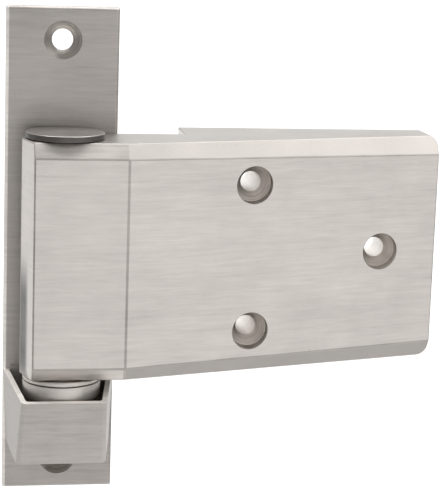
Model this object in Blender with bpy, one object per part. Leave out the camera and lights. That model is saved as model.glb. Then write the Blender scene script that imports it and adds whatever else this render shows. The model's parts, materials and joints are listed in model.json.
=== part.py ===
"""Cam-rise hinge for a heavy insulated door: frame flange, door strap and the parts inside the knuckle.

Origin: centre of the flange's back face. +X runs towards the free end of the strap, +Y into the
door frame, +Z up. Every length is in metres. At rest the strap is closed: its relieved back lies
against the flange, and the two cams sit in each other.
"""

import math

import bmesh
import bpy
from mathutils import Matrix, Vector

CLEARANCE = 0.0003               # gap between pieces that touch or run on each other
CUT_PAST = 0.004                 # how far a cutter runs past the face that it opens
LEAD_IN = 0.0005                 # how far a screw hole's cutter stands out of its face

# Frame flange
FLANGE_WIDTH = 0.0381
FLANGE_HEIGHT = 0.168
FLANGE_THICKNESS = 0.0045
FLANGE_EDGE = 0.0008             # chamfer round the front
FLANGE_FOOT = 0.0142             # flange left below the pocket
SCREW_END_DISTANCE = 0.0112      # screw centre to the flange's end
SCREW_HEAD_RADIUS = 0.0064
SCREW_HOLE_RADIUS = 0.0036
SCREW_CONE = math.radians(41)    # half angle of the countersink

# Hinge pin, barrel and knuckle
PIN_RADIUS = 0.005
BARREL_RADIUS = 0.010
BARREL_WALL = 0.0042
KNUCKLE_FRONT_WALL = 0.0048
COLLAR_INSET = 0.001             # cap and collars are this much smaller than the knuckle's round
HEX_INSET = 0.00015              # hexagon tail, inside the pin's round

# Pocket at the foot of the flange
POCKET_WALL = 0.0018
POCKET_SIDE_GAP = 0.0017
POCKET_FRONT_GAP = 0.0004
POCKET_TAPER = 0.1525            # widening towards the flange, in metres of x for each metre of y
POCKET_DRAFT = 0.033             # narrowing of each side towards the bottom
POCKET_LEAN = 0.49               # lean of the front towards the flange, going down
POCKET_BOTTOM_SLOPE = 0.2
POCKET_BASE = 0.0162             # metal below the pocket's floor, at the front
SOCKET_LENGTH = 0.0089           # hexagon hole below the pocket's floor
LEDGE_HEIGHT = 0.0014
LEDGE_THICKNESS = 0.0005
RIM_FRONT_STEP = 0.0011          # front of the rim above the collar's lower edge
RIM_BACK_DROP = 0.0003           # back of the rim below the collar's upper edge
PIN_TAIL_GAP = 0.0005            # pin's end above the socket's

# Cams
RAMP_HEIGHT = 0.008              # climb of one cam lobe over its half turn
CAM_BASE = 0.0028
CAM_LIP = 0.0019
COLLAR_HEIGHT = 0.0054
CAM_FLANGE = 0.0014
CAM_SPIGOT = 0.009
CAM_SHELL = 0.0006               # wall outside the ramps, below the collar
STEP_ANGLE = math.radians(1.0)   # lobe's steep face
FACE_GAP_ANGLE = math.radians(4.0)
DOWEL_RADIUS = 0.0011
DOWEL_LENGTH = 0.004
UPPER_DOWEL_RADIUS = 0.0008
UPPER_DOWEL_LENGTH = 0.006
UPPER_DOWEL_FLOOR = 0.0004       # metal left under the dowel's hole in the cam's flange
CAM_STEPS = 72                   # even sections round a cam

# Door strap
STRAP_HEIGHT = 0.0801
STRAP_REACH = 0.133              # pin axis to the free end
STRAP_END_THICKNESS = 0.0181
STRAP_WALL = 0.004
PAD_RECESS = 0.014               # mounting pad behind the flange's back
PAD_SETBACK = 0.0233             # flange edge to the pad
CREASE_OFFSET = 0.0059           # knuckle's round to the crease in the front
CORNER_INSET = 0.0034            # knuckle's round to the front left corner
CHAMFER_LEFT = (0.0048, 0.0039)  # height and depth of the front chamfers
CHAMFER_RIGHT = (0.0062, 0.0046)
END_ROUND = 0.0035
RIB_THICKNESS = 0.003
BOSS_RADIUS = 0.0082
STRAP_SCREW_SPACING = 0.0505
STRAP_SCREW_INSET = 0.02165      # pad edge to the first screws
STRAP_SCREW_END = 0.0213         # free end to the last screw
STRAP_SCREW_RADIUS = 0.0035
STRAP_SCREW_SINK = 0.0056        # straight wall above the cone

# Pieces on the pin, from the barrel's two ends inwards
BUSHING_LENGTH = 0.007
SPRING_COLLAR_LENGTH = 0.006
SPRING_WIRE = 0.00115            # wire radius
SPRING_TURNS = 9
TANG_LENGTH = 0.0032
ANCHOR_LENGTH = 0.007
ROLL_PIN_RADIUS = 0.00125
WASHER_THICKNESS = 0.0012
WASHER_GAP = 0.0007              # washers and anchor to the barrel's wall
CLIP_THICKNESS = 0.001
CLIP_GROOVE_DEPTH = 0.0008
CLIP_WIDTH = 0.0027
PIN_END = 0.0013
PIN_CHAMFER = 0.0006
PIN_TOP_GAP = 0.0011             # pin's end below the cap's spigot
CLIP_OPENING = math.radians(70)
CAP_FLANGE = 0.0020
CAP_SPIGOT = 0.0053
CAP_WALL = 0.0015
CAP_EDGE = 0.0004
SEAL_RADIUS = 0.0005

ROUND = 64                       # sides of a large round
MEDIUM_ROUND = 40
SMALL_ROUND = 24
COARSE_ROUND = 8
QUARTER_STEPS = 8                # steps round a quarter turn of a corner
COIL_STEPS = 14                  # steps in one turn of the spring
FIXED_PIECES = ("frame_flange", "lower_cam")

# Places that follow from the sizes above
KNUCKLE_RADIUS = BARREL_RADIUS + BARREL_WALL
PIN_Y = -(FLANGE_THICKNESS + CLEARANCE + KNUCKLE_RADIUS)
COLLAR_RADIUS = KNUCKLE_RADIUS - COLLAR_INSET
BORE_RADIUS = PIN_RADIUS + CLEARANCE
SLEEVE_RADIUS = BARREL_RADIUS - CLEARANCE
WASHER_RADIUS = BARREL_RADIUS - WASHER_GAP

POCKET_BOTTOM_Z = -FLANGE_HEIGHT / 2 + FLANGE_FOOT
POCKET_FLOOR_Z = POCKET_BOTTOM_Z + POCKET_BASE
HUB_BOTTOM_Z = POCKET_FLOOR_Z + CLEARANCE
RAMP_TOP_Z = HUB_BOTTOM_Z + CAM_BASE + RAMP_HEIGHT
COLLAR_TOP_Z = RAMP_TOP_Z + CAM_LIP
COLLAR_BOTTOM_Z = COLLAR_TOP_Z - COLLAR_HEIGHT
CAM_FLANGE_Z = COLLAR_TOP_Z + CLEARANCE
STRAP_BOTTOM_Z = CAM_FLANGE_Z + CAM_FLANGE + CLEARANCE
STRAP_TOP_Z = STRAP_BOTTOM_Z + STRAP_HEIGHT
STRAP_MID_Z = (STRAP_BOTTOM_Z + STRAP_TOP_Z) / 2
RIM_FRONT_Z = COLLAR_BOTTOM_Z + RIM_FRONT_STEP
RIM_BACK_Z = COLLAR_TOP_Z - RIM_BACK_DROP
LEDGE_TOP_Z = RIM_BACK_Z + LEDGE_HEIGHT
HUB_RADIUS = (COLLAR_RADIUS + POCKET_FRONT_GAP - CLEARANCE
              - POCKET_LEAN * (COLLAR_BOTTOM_Z - POCKET_FLOOR_Z))
RAMP_RADIUS = HUB_RADIUS - CAM_SHELL
NOSE_RADIUS = RAMP_RADIUS - CLEARANCE

KNUCKLE_FRONT_Y = PIN_Y - BARREL_RADIUS - KNUCKLE_FRONT_WALL
CREASE_X = KNUCKLE_RADIUS + CREASE_OFFSET
PAD_X = FLANGE_WIDTH / 2 + PAD_SETBACK
LEAF_END_Y = PAD_RECESS - STRAP_END_THICKNESS
LEAF_SLOPE = (LEAF_END_Y - KNUCKLE_FRONT_Y) / (STRAP_REACH - CREASE_X)
STRAP_SCREWS = [
    (PAD_X + STRAP_SCREW_INSET, STRAP_MID_Z + STRAP_SCREW_SPACING / 2),
    (PAD_X + STRAP_SCREW_INSET, STRAP_MID_Z - STRAP_SCREW_SPACING / 2),
    (STRAP_REACH - STRAP_SCREW_END, STRAP_MID_Z),
]

# Stack inside the barrel
LOWER_BUSHING_Z = STRAP_BOTTOM_Z + CAM_SPIGOT
SPRING_COLLAR_Z = LOWER_BUSHING_Z + BUSHING_LENGTH + CLEARANCE
SPRING_BOTTOM_Z = SPRING_COLLAR_Z + SPRING_COLLAR_LENGTH + CLEARANCE + SPRING_WIRE
PIN_TOP_Z = STRAP_TOP_Z - CAP_SPIGOT - PIN_TOP_GAP
CLIP_Z = PIN_TOP_Z - PIN_END - CLIP_THICKNESS
CLIP_WASHER_Z = CLIP_Z - CLEARANCE - WASHER_THICKNESS
UPPER_BUSHING_Z = CLIP_WASHER_Z - CLEARANCE - BUSHING_LENGTH
THRUST_WASHER_Z = UPPER_BUSHING_Z - CLEARANCE - WASHER_THICKNESS
ANCHOR_Z = THRUST_WASHER_Z - CLEARANCE - ANCHOR_LENGTH
SPRING_TOP_Z = ANCHOR_Z - CLEARANCE - SPRING_WIRE
SPRING_RADIUS = (PIN_RADIUS + BARREL_RADIUS) / 2


def clear_scene():
    """Remove whatever objects the scene starts with."""
    for found in list(bpy.data.objects):
        bpy.data.objects.remove(found, do_unlink=True)


def make_material(name, colour, roughness, metallic):
    """One Principled material."""
    material = bpy.data.materials.new(name)
    material.use_nodes = True
    shader = material.node_tree.nodes["Principled BSDF"]
    shader.inputs["Base Color"].default_value = (*colour, 1.0)
    shader.inputs["Roughness"].default_value = roughness
    shader.inputs["Metallic"].default_value = metallic
    return material


def mesh_object(name, bm, material=None, smooth_angle=None):
    """Turn a bmesh into a named object with its faces pointing out."""
    bmesh.ops.recalc_face_normals(bm, faces=bm.faces[:])
    mesh = bpy.data.meshes.new(name)
    bm.to_mesh(mesh)
    bm.free()
    if smooth_angle is not None:
        mesh.shade_smooth()
        mesh.set_sharp_from_angle(angle=smooth_angle)
    made = bpy.data.objects.new(name, mesh)
    bpy.context.collection.objects.link(made)
    if material is not None:
        mesh.materials.append(material)
    return made


def loft(name, rings, material=None, closed=False, smooth_angle=None):
    """Join rings of equal length into one solid; the end rings are capped unless it is closed."""
    bm = bmesh.new()
    loops = [[bm.verts.new(point) for point in ring] for ring in rings]
    pairs = list(zip(loops, loops[1:]))
    if closed:
        pairs.append((loops[-1], loops[0]))
    for first, second in pairs:
        for index in range(len(first)):
            after = (index + 1) % len(first)
            bm.faces.new((first[index], first[after], second[after], second[index]))
    if not closed:
        bm.faces.new(loops[0][::-1])
        bm.faces.new(loops[-1])
    return mesh_object(name, bm, material, smooth_angle)


def prism(name, outline, bottom, top, material=None):
    """Extrude an outline in x and y from one height to another."""
    return loft(name, [[(x, y, z) for x, y in outline] for z in (bottom, top)], material)


def turned_on_pin(name, profile, material=None, sides=ROUND):
    """Turn a closed outline of (radius, z) points round the pin's axis."""
    angles = [2 * math.pi * index / sides for index in range(sides)]
    return swept_on_pin(name, [(angle, profile) for angle in angles], material)


def swept_on_pin(name, sections, material=None):
    """Join outlines of (radius, z) points, each at its own angle round the pin's axis."""
    rings = []
    for angle, profile in sections:
        across = Vector((math.cos(angle), math.sin(angle), 0))
        rings.append([Vector((0, PIN_Y, z)) + radius * across for radius, z in profile])
    return loft(name, rings, material, closed=True, smooth_angle=math.radians(30))


def tube_profile(inner, outer, bottom, top, chamfer=0.0):
    """Outline of a plain sleeve or washer, with its outer edges chamfered."""
    return [
        (inner, bottom), (outer - chamfer, bottom), (outer, bottom + chamfer),
        (outer, top - chamfer), (outer - chamfer, top), (inner, top),
    ] if chamfer else [(inner, bottom), (outer, bottom), (outer, top), (inner, top)]


def rod(name, start, along, stations, material=None, sides=SMALL_ROUND, turn=0.0):
    """A solid of revolution: stations are (distance, radius) along a direction."""
    along = Vector(along).normalized()
    side = along.orthogonal().normalized()
    other = along.cross(side)
    rings = []
    for distance, radius in stations:
        centre = Vector(start) + distance * along
        rings.append([
            centre + radius * (math.cos(angle) * side + math.sin(angle) * other)
            for angle in (turn + 2 * math.pi * index / sides for index in range(sides))
        ])
    return loft(name, rings, material, smooth_angle=math.radians(30))


def boolean(target, other, operation="DIFFERENCE"):
    """Cut or join with another object, which stays in the scene as a hidden guide."""
    other.hide_render = True
    other.display_type = "WIRE"
    step = target.modifiers.new(other.name, "BOOLEAN")
    step.operation = operation
    step.solver = "EXACT"
    step.object = other


def leaf_front_y(x):
    """Front face of the strap at a distance x from the pin: flat knuckle, then the sloping leaf."""
    return KNUCKLE_FRONT_Y + LEAF_SLOPE * max(0.0, x - CREASE_X)


def pocket_half_width(y, z):
    """Half the pocket's outer width at a depth y and a height z; it narrows below the rim."""
    at_rim = COLLAR_RADIUS + POCKET_SIDE_GAP + POCKET_WALL + POCKET_TAPER * (y - PIN_Y)
    return at_rim - POCKET_DRAFT * (RIM_BACK_Z - z)


def pocket_front_y(z):
    """Inside of the pocket's front wall, which leans in from the collar to the hub."""
    return PIN_Y - COLLAR_RADIUS - POCKET_FRONT_GAP + POCKET_LEAN * (COLLAR_BOTTOM_Z - z)


def ramp_height(angle, gap):
    """Height of a cam face round its turn: gap is 0 for the lower cam, and opens the upper one."""
    step_back = FACE_GAP_ANGLE if gap else 0.0
    turn = angle % math.pi
    slope_end = math.pi - step_back - STEP_ANGLE
    if turn <= slope_end:
        return RAMP_TOP_Z + gap - RAMP_HEIGHT * turn / math.pi
    lowest = RAMP_TOP_Z + gap - RAMP_HEIGHT * slope_end / math.pi
    share = min(1.0, (turn - slope_end) / STEP_ANGLE)
    return lowest + share * (RAMP_TOP_Z + gap - lowest)


def cam_angles(gap):
    """Angles for a cam's sections: even steps, and the corners of its two steep faces."""
    step_back = FACE_GAP_ANGLE if gap else 0.0
    even = [2 * math.pi * index / CAM_STEPS for index in range(CAM_STEPS)]
    corners = []
    for lobe in (0.0, math.pi):
        corners += [lobe + math.pi - step_back - STEP_ANGLE, lobe + math.pi - step_back]
    kept = [angle for angle in even if all(abs(angle - corner) > STEP_ANGLE / 2 for corner in corners)]
    return sorted(kept + [corner % (2 * math.pi) for corner in corners])


def build_flange(material):
    """Flange plate and pocket, one casting."""
    half_width, half_height = FLANGE_WIDTH / 2, FLANGE_HEIGHT / 2
    rings = []
    for y, inset in ((0, 0), (-FLANGE_THICKNESS + FLANGE_EDGE, 0), (-FLANGE_THICKNESS, FLANGE_EDGE)):
        w, h = half_width - inset, half_height - inset
        rings.append([(-w, y, -h), (w, y, -h), (w, y, h), (-w, y, h)])
    flange = loft("frame_flange", rings, material)
    root_y = -FLANGE_THICKNESS + FLANGE_EDGE
    boolean(flange, pocket_block("pocket_outside", root_y), "UNION")
    ledge_half = pocket_half_width(-FLANGE_THICKNESS, RIM_BACK_Z) - POCKET_WALL - CLEARANCE
    ledge = [
        (-ledge_half, root_y), (-ledge_half, -FLANGE_THICKNESS - LEDGE_THICKNESS),
        (ledge_half, -FLANGE_THICKNESS - LEDGE_THICKNESS), (ledge_half, root_y),
    ]
    boolean(flange, prism("pocket_ledge", ledge, RIM_FRONT_Z, LEDGE_TOP_Z), "UNION")
    boolean(flange, pocket_hollow())
    boolean(flange, hex_socket())
    for side in (-1, 1):
        top = POCKET_FLOOR_Z + CUT_PAST
        depth = DOWEL_LENGTH / 2 + CUT_PAST + CLEARANCE
        place = (side * dowel_offset(), PIN_Y, top)
        hole = rod(f"dowel_seat_{side:+d}", place, (0, 0, -1),
                   [(0, DOWEL_RADIUS + CLEARANCE), (depth, DOWEL_RADIUS + CLEARANCE)])
        boolean(flange, hole)
        centre_z = side * (half_height - SCREW_END_DISTANCE)
        boolean(flange, countersink(f"frame_screw_hole_{side:+d}", 0.0, centre_z, -FLANGE_THICKNESS,
                                    0.0, SCREW_HOLE_RADIUS, 0.0))
    return flange


def pocket_block(name, back_y):
    """The pocket's outer shape as a solid: sides widen to the flange, the front leans in below."""
    def ring(front_y, front_z, back_z):
        places = ((-1, back_y, back_z), (-1, front_y, front_z), (1, front_y, front_z), (1, back_y, back_z))
        return [(side * pocket_half_width(y, z), y, z) for side, y, z in places]
    wall = POCKET_WALL * math.hypot(1, POCKET_LEAN)
    bottom_y = pocket_front_y(POCKET_BOTTOM_Z) - wall
    top_y = pocket_front_y(RIM_FRONT_Z) - wall
    rise = (back_y - bottom_y) * POCKET_BOTTOM_SLOPE
    lower = ring(bottom_y, POCKET_BOTTOM_Z, POCKET_BOTTOM_Z + rise)
    return loft(name, [lower, ring(top_y, RIM_FRONT_Z, RIM_BACK_Z)])


def pocket_hollow():
    """Cutter for the pocket's inside, open at the top."""
    back_y = -FLANGE_THICKNESS - LEDGE_THICKNESS
    rings = []
    for z in (POCKET_FLOOR_Z, LEDGE_TOP_Z + CUT_PAST):
        front_y = pocket_front_y(z)
        ring = []
        for side, y in ((-1, back_y), (-1, front_y), (1, front_y), (1, back_y)):
            ring.append((side * (pocket_half_width(y, z) - POCKET_WALL), y, z))
        rings.append(ring)
    return loft("pocket_hollow", rings)


def hex_radius(gap):
    """Corner radius of the pin's hexagon tail, or of its socket when gap is the clearance."""
    return PIN_RADIUS - HEX_INSET + gap / math.cos(math.radians(30))


def hex_socket():
    """Cutter for the blind hexagon hole in the pocket's floor."""
    start = (0, PIN_Y, POCKET_FLOOR_Z - SOCKET_LENGTH)
    length = SOCKET_LENGTH + CUT_PAST
    radius = hex_radius(CLEARANCE)
    return rod("hex_socket", start, (0, 0, 1), [(0, radius), (length, radius)], sides=6)


def countersink(name, x, z, face_y, back_y, hole_radius, sink, slope=0.0):
    """Cutter for one screw: straight wall, cone, then the through hole; slope is the face's."""
    cone = (SCREW_HEAD_RADIUS - hole_radius) / math.tan(SCREW_CONE)
    lead = LEAD_IN + 1.5 * slope * SCREW_HEAD_RADIUS
    stations = [
        (0, SCREW_HEAD_RADIUS), (lead + sink, SCREW_HEAD_RADIUS), (lead + sink + cone, hole_radius),
        (lead + back_y - face_y + CUT_PAST, hole_radius),
    ]
    return rod(name, (x, face_y - lead, z), (0, 1, 0), stations, sides=MEDIUM_ROUND)


def dowel_offset():
    """Distance of the lower cam's dowels from the pin's axis, midway across the ramp."""
    return (BORE_RADIUS + HUB_RADIUS) / 2


def build_lower_cam(material):
    """Cam that stands in the pocket: hub, collar, and two ramps inside the collar."""
    sections = []
    for angle in cam_angles(0.0):
        ramp = ramp_height(angle, 0.0)
        sections.append((angle, [
            (BORE_RADIUS, HUB_BOTTOM_Z), (BORE_RADIUS, ramp), (RAMP_RADIUS, ramp),
            (RAMP_RADIUS, COLLAR_TOP_Z), (COLLAR_RADIUS, COLLAR_TOP_Z),
            (COLLAR_RADIUS, COLLAR_BOTTOM_Z), (HUB_RADIUS, COLLAR_BOTTOM_Z), (HUB_RADIUS, HUB_BOTTOM_Z),
        ]))
    cam = swept_on_pin("lower_cam", sections, material)
    for side in (-1, 1):
        place = (side * dowel_offset(), PIN_Y, HUB_BOTTOM_Z - CUT_PAST)
        depth = CUT_PAST + DOWEL_LENGTH / 2
        hole = rod(f"lower_cam_hole_{side:+d}", place, (0, 0, 1),
                   [(0, DOWEL_RADIUS + CLEARANCE), (depth, DOWEL_RADIUS + CLEARANCE)])
        boolean(cam, hole)
    return cam


def build_lower_dowels(material):
    """Dowels that stop the lower cam from turning in the pocket."""
    bottom = POCKET_FLOOR_Z - DOWEL_LENGTH / 2
    for side, name in ((-1, "lower_cam_dowel_left"), (1, "lower_cam_dowel_right")):
        rod(name, (side * dowel_offset(), PIN_Y, bottom), (0, 0, 1),
            [(0, DOWEL_RADIUS), (DOWEL_LENGTH, DOWEL_RADIUS)], material)


def upper_dowel_offset():
    """Distance of the upper cam's dowels from the pin's axis, midway across its flange's rim."""
    return (BARREL_RADIUS + COLLAR_RADIUS) / 2


def build_upper_cam(material):
    """Cam on the strap: spigot in the barrel, flange below it, and a nose with two ramps."""
    spigot_top = CAM_FLANGE_Z + CAM_FLANGE + CAM_SPIGOT
    sections = []
    for angle in cam_angles(CLEARANCE):
        ramp = ramp_height(angle, CLEARANCE)
        sections.append((angle, [
            (BORE_RADIUS, ramp), (NOSE_RADIUS, ramp), (NOSE_RADIUS, CAM_FLANGE_Z),
            (COLLAR_RADIUS, CAM_FLANGE_Z), (COLLAR_RADIUS, CAM_FLANGE_Z + CAM_FLANGE),
            (SLEEVE_RADIUS, CAM_FLANGE_Z + CAM_FLANGE), (SLEEVE_RADIUS, spigot_top),
            (BORE_RADIUS, spigot_top),
        ]))
    cam = swept_on_pin("upper_cam", sections, material)
    radius = UPPER_DOWEL_RADIUS + CLEARANCE
    for side in (-1, 1):
        place = (side * upper_dowel_offset(), PIN_Y, CAM_FLANGE_Z + UPPER_DOWEL_FLOOR)
        boolean(cam, rod(f"upper_cam_hole_{side:+d}", place, (0, 0, 1), [(0, radius), (CUT_PAST, radius)]))
    return cam


def build_upper_dowels(material):
    """Dowels between the upper cam's flange and the strap."""
    bottom = CAM_FLANGE_Z + UPPER_DOWEL_FLOOR + CLEARANCE
    for side, name in ((-1, "upper_cam_dowel_left"), (1, "upper_cam_dowel_right")):
        rod(name, (side * upper_dowel_offset(), PIN_Y, bottom), (0, 0, 1),
            [(0, UPPER_DOWEL_RADIUS), (UPPER_DOWEL_LENGTH, UPPER_DOWEL_RADIUS)], material)


def strap_outline():
    """Strap seen from above: points along its back, then the three along its front."""
    back = [(STRAP_REACH, PAD_RECESS), (PAD_X, PAD_RECESS), (PAD_X, PIN_Y + KNUCKLE_RADIUS)]
    for index in range(QUARTER_STEPS + 1):
        angle = math.pi / 2 + math.pi / 2 * index / QUARTER_STEPS
        back.append((KNUCKLE_RADIUS * math.cos(angle), PIN_Y + KNUCKLE_RADIUS * math.sin(angle)))
    front = [
        (-KNUCKLE_RADIUS + CORNER_INSET, KNUCKLE_FRONT_Y), (CREASE_X, KNUCKLE_FRONT_Y),
        (STRAP_REACH, LEAF_END_Y),
    ]
    return back, front


def strap_shell(material):
    """Outer shape of the strap: knuckle, crease and leaf, with chamfers along the front."""
    back, front = strap_outline()
    chamfers = [CHAMFER_LEFT, CHAMFER_LEFT, CHAMFER_RIGHT]
    rings = []
    for level in (0, 1, 2, 3):
        at_edge = level in (0, 3)
        lower_half = level < 2
        end_z = STRAP_BOTTOM_Z if lower_half else STRAP_TOP_Z
        towards_middle = 1 if lower_half else -1
        ring = []
        for x, y in back:
            height = 0.0 if at_edge else CHAMFER_RIGHT[0] if x > PAD_X else CHAMFER_LEFT[0]
            ring.append((x, y, end_z + towards_middle * height))
        for (x, y), (height, depth) in zip(front, chamfers):
            ring.append((x, y + (depth if at_edge else 0.0),
                         end_z + towards_middle * (0.0 if at_edge else height)))
        rings.append(ring)
    return loft("door_strap", rings, material, smooth_angle=math.radians(20))


def bay(name, x_from, x_to, z_from, z_to):
    """Cutter for one hollow between the ribs, open through the mounting pad."""
    wall_y = STRAP_WALL / math.cos(math.atan(LEAF_SLOPE))
    outline = [
        (x_from, leaf_front_y(x_from) + wall_y), (x_to, leaf_front_y(x_to) + wall_y),
        (x_to, PAD_RECESS + CUT_PAST), (x_from, PAD_RECESS + CUT_PAST),
    ]
    return prism(name, outline, z_from, z_to)


def screw_boss(name, x, z):
    """Round boss behind one strap screw, from inside the front wall to just under the pad."""
    inside, under_pad = [], []
    for index in range(MEDIUM_ROUND):
        angle = 2 * math.pi * index / MEDIUM_ROUND
        at_x, at_z = x + BOSS_RADIUS * math.cos(angle), z + BOSS_RADIUS * math.sin(angle)
        inside.append((at_x, leaf_front_y(at_x) + STRAP_WALL / 2, at_z))
        under_pad.append((at_x, PAD_RECESS - CLEARANCE, at_z))
    return loft(name, [inside, under_pad])


def end_corner(name, z_end, inwards):
    """Cutter that rounds a corner of the free end; inwards is the z direction towards the strap."""
    centre = (STRAP_REACH - END_ROUND, z_end + inwards * END_ROUND)
    far_x = centre[0] + END_ROUND + CUT_PAST
    far_z = centre[1] - inwards * (END_ROUND + CUT_PAST)
    section = [(centre[0], far_z), (far_x, far_z), (far_x, centre[1])]
    for index in range(QUARTER_STEPS + 1):
        angle = math.pi / 2 * index / QUARTER_STEPS
        section.append((centre[0] + END_ROUND * math.cos(angle),
                        centre[1] - inwards * END_ROUND * math.sin(angle)))
    rings = [[(x, y, z) for x, z in section] for y in (LEAF_END_Y - CUT_PAST, PAD_RECESS + CUT_PAST)]
    return loft(name, rings)


def build_strap(material):
    """Door strap: one casting, hollow behind the leaf, with ribs, bosses, barrel and screw holes."""
    strap = strap_shell(material)
    rib_x = STRAP_SCREWS[0][0]
    half_rib = RIB_THICKNESS / 2
    columns = [(PAD_X + STRAP_WALL, rib_x - half_rib), (rib_x + half_rib, STRAP_REACH - STRAP_WALL)]
    rows = [(STRAP_BOTTOM_Z + STRAP_WALL, STRAP_MID_Z - half_rib),
            (STRAP_MID_Z + half_rib, STRAP_TOP_Z - STRAP_WALL)]
    for column, (x_from, x_to) in enumerate(columns):
        for row, (z_from, z_to) in enumerate(rows):
            boolean(strap, bay(f"bay_{column}_{row}", x_from, x_to, z_from, z_to))
    for index, (x, z) in enumerate(STRAP_SCREWS):
        boolean(strap, screw_boss(f"screw_boss_{index}", x, z), "UNION")
    for index, (x, z) in enumerate(STRAP_SCREWS):
        boolean(strap, countersink(f"strap_screw_hole_{index}", x, z, leaf_front_y(x), PAD_RECESS,
                                   STRAP_SCREW_RADIUS, STRAP_SCREW_SINK, LEAF_SLOPE))
    barrel = rod("barrel_bore", (0, PIN_Y, STRAP_BOTTOM_Z - CUT_PAST), (0, 0, 1),
                 [(0, BARREL_RADIUS), (STRAP_HEIGHT + 2 * CUT_PAST, BARREL_RADIUS)], sides=ROUND)
    boolean(strap, barrel)
    radius = UPPER_DOWEL_RADIUS + CLEARANCE
    dowel_top = CAM_FLANGE_Z + UPPER_DOWEL_FLOOR + 2 * CLEARANCE + UPPER_DOWEL_LENGTH
    for side in (-1, 1):
        start = (side * upper_dowel_offset(), PIN_Y, dowel_top)
        stations = [(0, radius), (dowel_top - STRAP_BOTTOM_Z + CUT_PAST, radius)]
        boolean(strap, rod(f"strap_dowel_hole_{side:+d}", start, (0, 0, -1), stations))
    boolean(strap, end_corner("end_corner_top", STRAP_TOP_Z, -1))
    boolean(strap, end_corner("end_corner_bottom", STRAP_BOTTOM_Z, 1))
    return strap


def build_pin(material):
    """Hinge pin: hexagon tail in the pocket's socket, round shank, and a groove for the clip."""
    tail_bottom = POCKET_FLOOR_Z - SOCKET_LENGTH + PIN_TAIL_GAP
    shank_bottom = HUB_BOTTOM_Z + CLEARANCE
    pin = turned_solid_on_pin("hinge_pin", [
        (shank_bottom, PIN_RADIUS - PIN_CHAMFER), (shank_bottom + PIN_CHAMFER, PIN_RADIUS),
        (CLIP_Z - CLEARANCE, PIN_RADIUS), (CLIP_Z - CLEARANCE, PIN_RADIUS - CLIP_GROOVE_DEPTH),
        (CLIP_Z + CLIP_THICKNESS + CLEARANCE, PIN_RADIUS - CLIP_GROOVE_DEPTH),
        (CLIP_Z + CLIP_THICKNESS + CLEARANCE, PIN_RADIUS),
        (PIN_TOP_Z - PIN_CHAMFER, PIN_RADIUS), (PIN_TOP_Z, PIN_RADIUS - PIN_CHAMFER),
    ], material)
    tail = rod("pin_tail", (0, PIN_Y, tail_bottom), (0, 0, 1),
               [(0, hex_radius(0) - PIN_CHAMFER), (PIN_CHAMFER, hex_radius(0)),
                (shank_bottom - tail_bottom + CUT_PAST, hex_radius(0))], sides=6)
    boolean(pin, tail, "UNION")
    reach = BARREL_RADIUS + CUT_PAST
    radius = ROLL_PIN_RADIUS + CLEARANCE
    boolean(pin, rod("pin_cross_hole", (-reach, PIN_Y, roll_pin_z()), (1, 0, 0),
                     [(0, radius), (2 * reach, radius)]))
    return pin


def turned_solid_on_pin(name, stations, material):
    """A solid of revolution on the pin's axis from (z, radius) stations."""
    bottom = stations[0][0]
    return rod(name, (0, PIN_Y, bottom), (0, 0, 1), [(z - bottom, radius) for z, radius in stations],
               material, sides=ROUND // 2)


def roll_pin_z():
    """Height of the cross pin, halfway up the spring anchor."""
    return ANCHOR_Z + ANCHOR_LENGTH / 2


def ring_on_pin(name, bottom, length, outer, material, inner=BORE_RADIUS, chamfer=0.0):
    """A plain sleeve or washer on the pin."""
    return turned_on_pin(name, tube_profile(inner, outer, bottom, bottom + length, chamfer), material)


def tang_slot(name, z_from, z_to, angle):
    """Cutter for the slot that takes one end of the spring."""
    across = Vector((math.cos(angle), math.sin(angle), 0))
    side = Vector((-across.y, across.x, 0))
    half = SPRING_WIRE + CLEARANCE
    inner, outer = SPRING_RADIUS - half, BARREL_RADIUS + CUT_PAST
    corners = [inner * across - half * side, outer * across - half * side,
               outer * across + half * side, inner * across + half * side]
    return prism(name, [(point.x, PIN_Y + point.y) for point in corners], z_from, z_to)


def build_spring_seats(steel, bronze):
    """Collar fixed in the strap and anchor fixed on the pin, which take the spring's two ends."""
    collar = ring_on_pin("spring_collar", SPRING_COLLAR_Z, SPRING_COLLAR_LENGTH, SLEEVE_RADIUS, bronze)
    top = SPRING_COLLAR_Z + SPRING_COLLAR_LENGTH
    depth = TANG_LENGTH + CLEARANCE
    boolean(collar, tang_slot("collar_slot", top - depth, top + CUT_PAST, spring_end_angle(0)))
    anchor = ring_on_pin("spring_anchor", ANCHOR_Z, ANCHOR_LENGTH, WASHER_RADIUS, steel)
    boolean(anchor, tang_slot("anchor_slot", ANCHOR_Z - CUT_PAST, ANCHOR_Z + depth, spring_end_angle(1)))
    reach = BARREL_RADIUS + CUT_PAST
    radius = ROLL_PIN_RADIUS + CLEARANCE
    boolean(anchor, rod("anchor_cross_hole", (-reach, PIN_Y, roll_pin_z()), (1, 0, 0),
                        [(0, radius), (2 * reach, radius)]))
    length = 2 * (WASHER_RADIUS - CLEARANCE)
    rod("anchor_roll_pin", (-length / 2, PIN_Y, roll_pin_z()), (1, 0, 0),
        [(0, ROLL_PIN_RADIUS), (length, ROLL_PIN_RADIUS)], steel)


def spring_end_angle(share):
    """Angle of the spring's wire at its lower end (share 0) or its upper end (share 1)."""
    return -math.pi / 2 + share * 2 * math.pi * SPRING_TURNS


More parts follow.
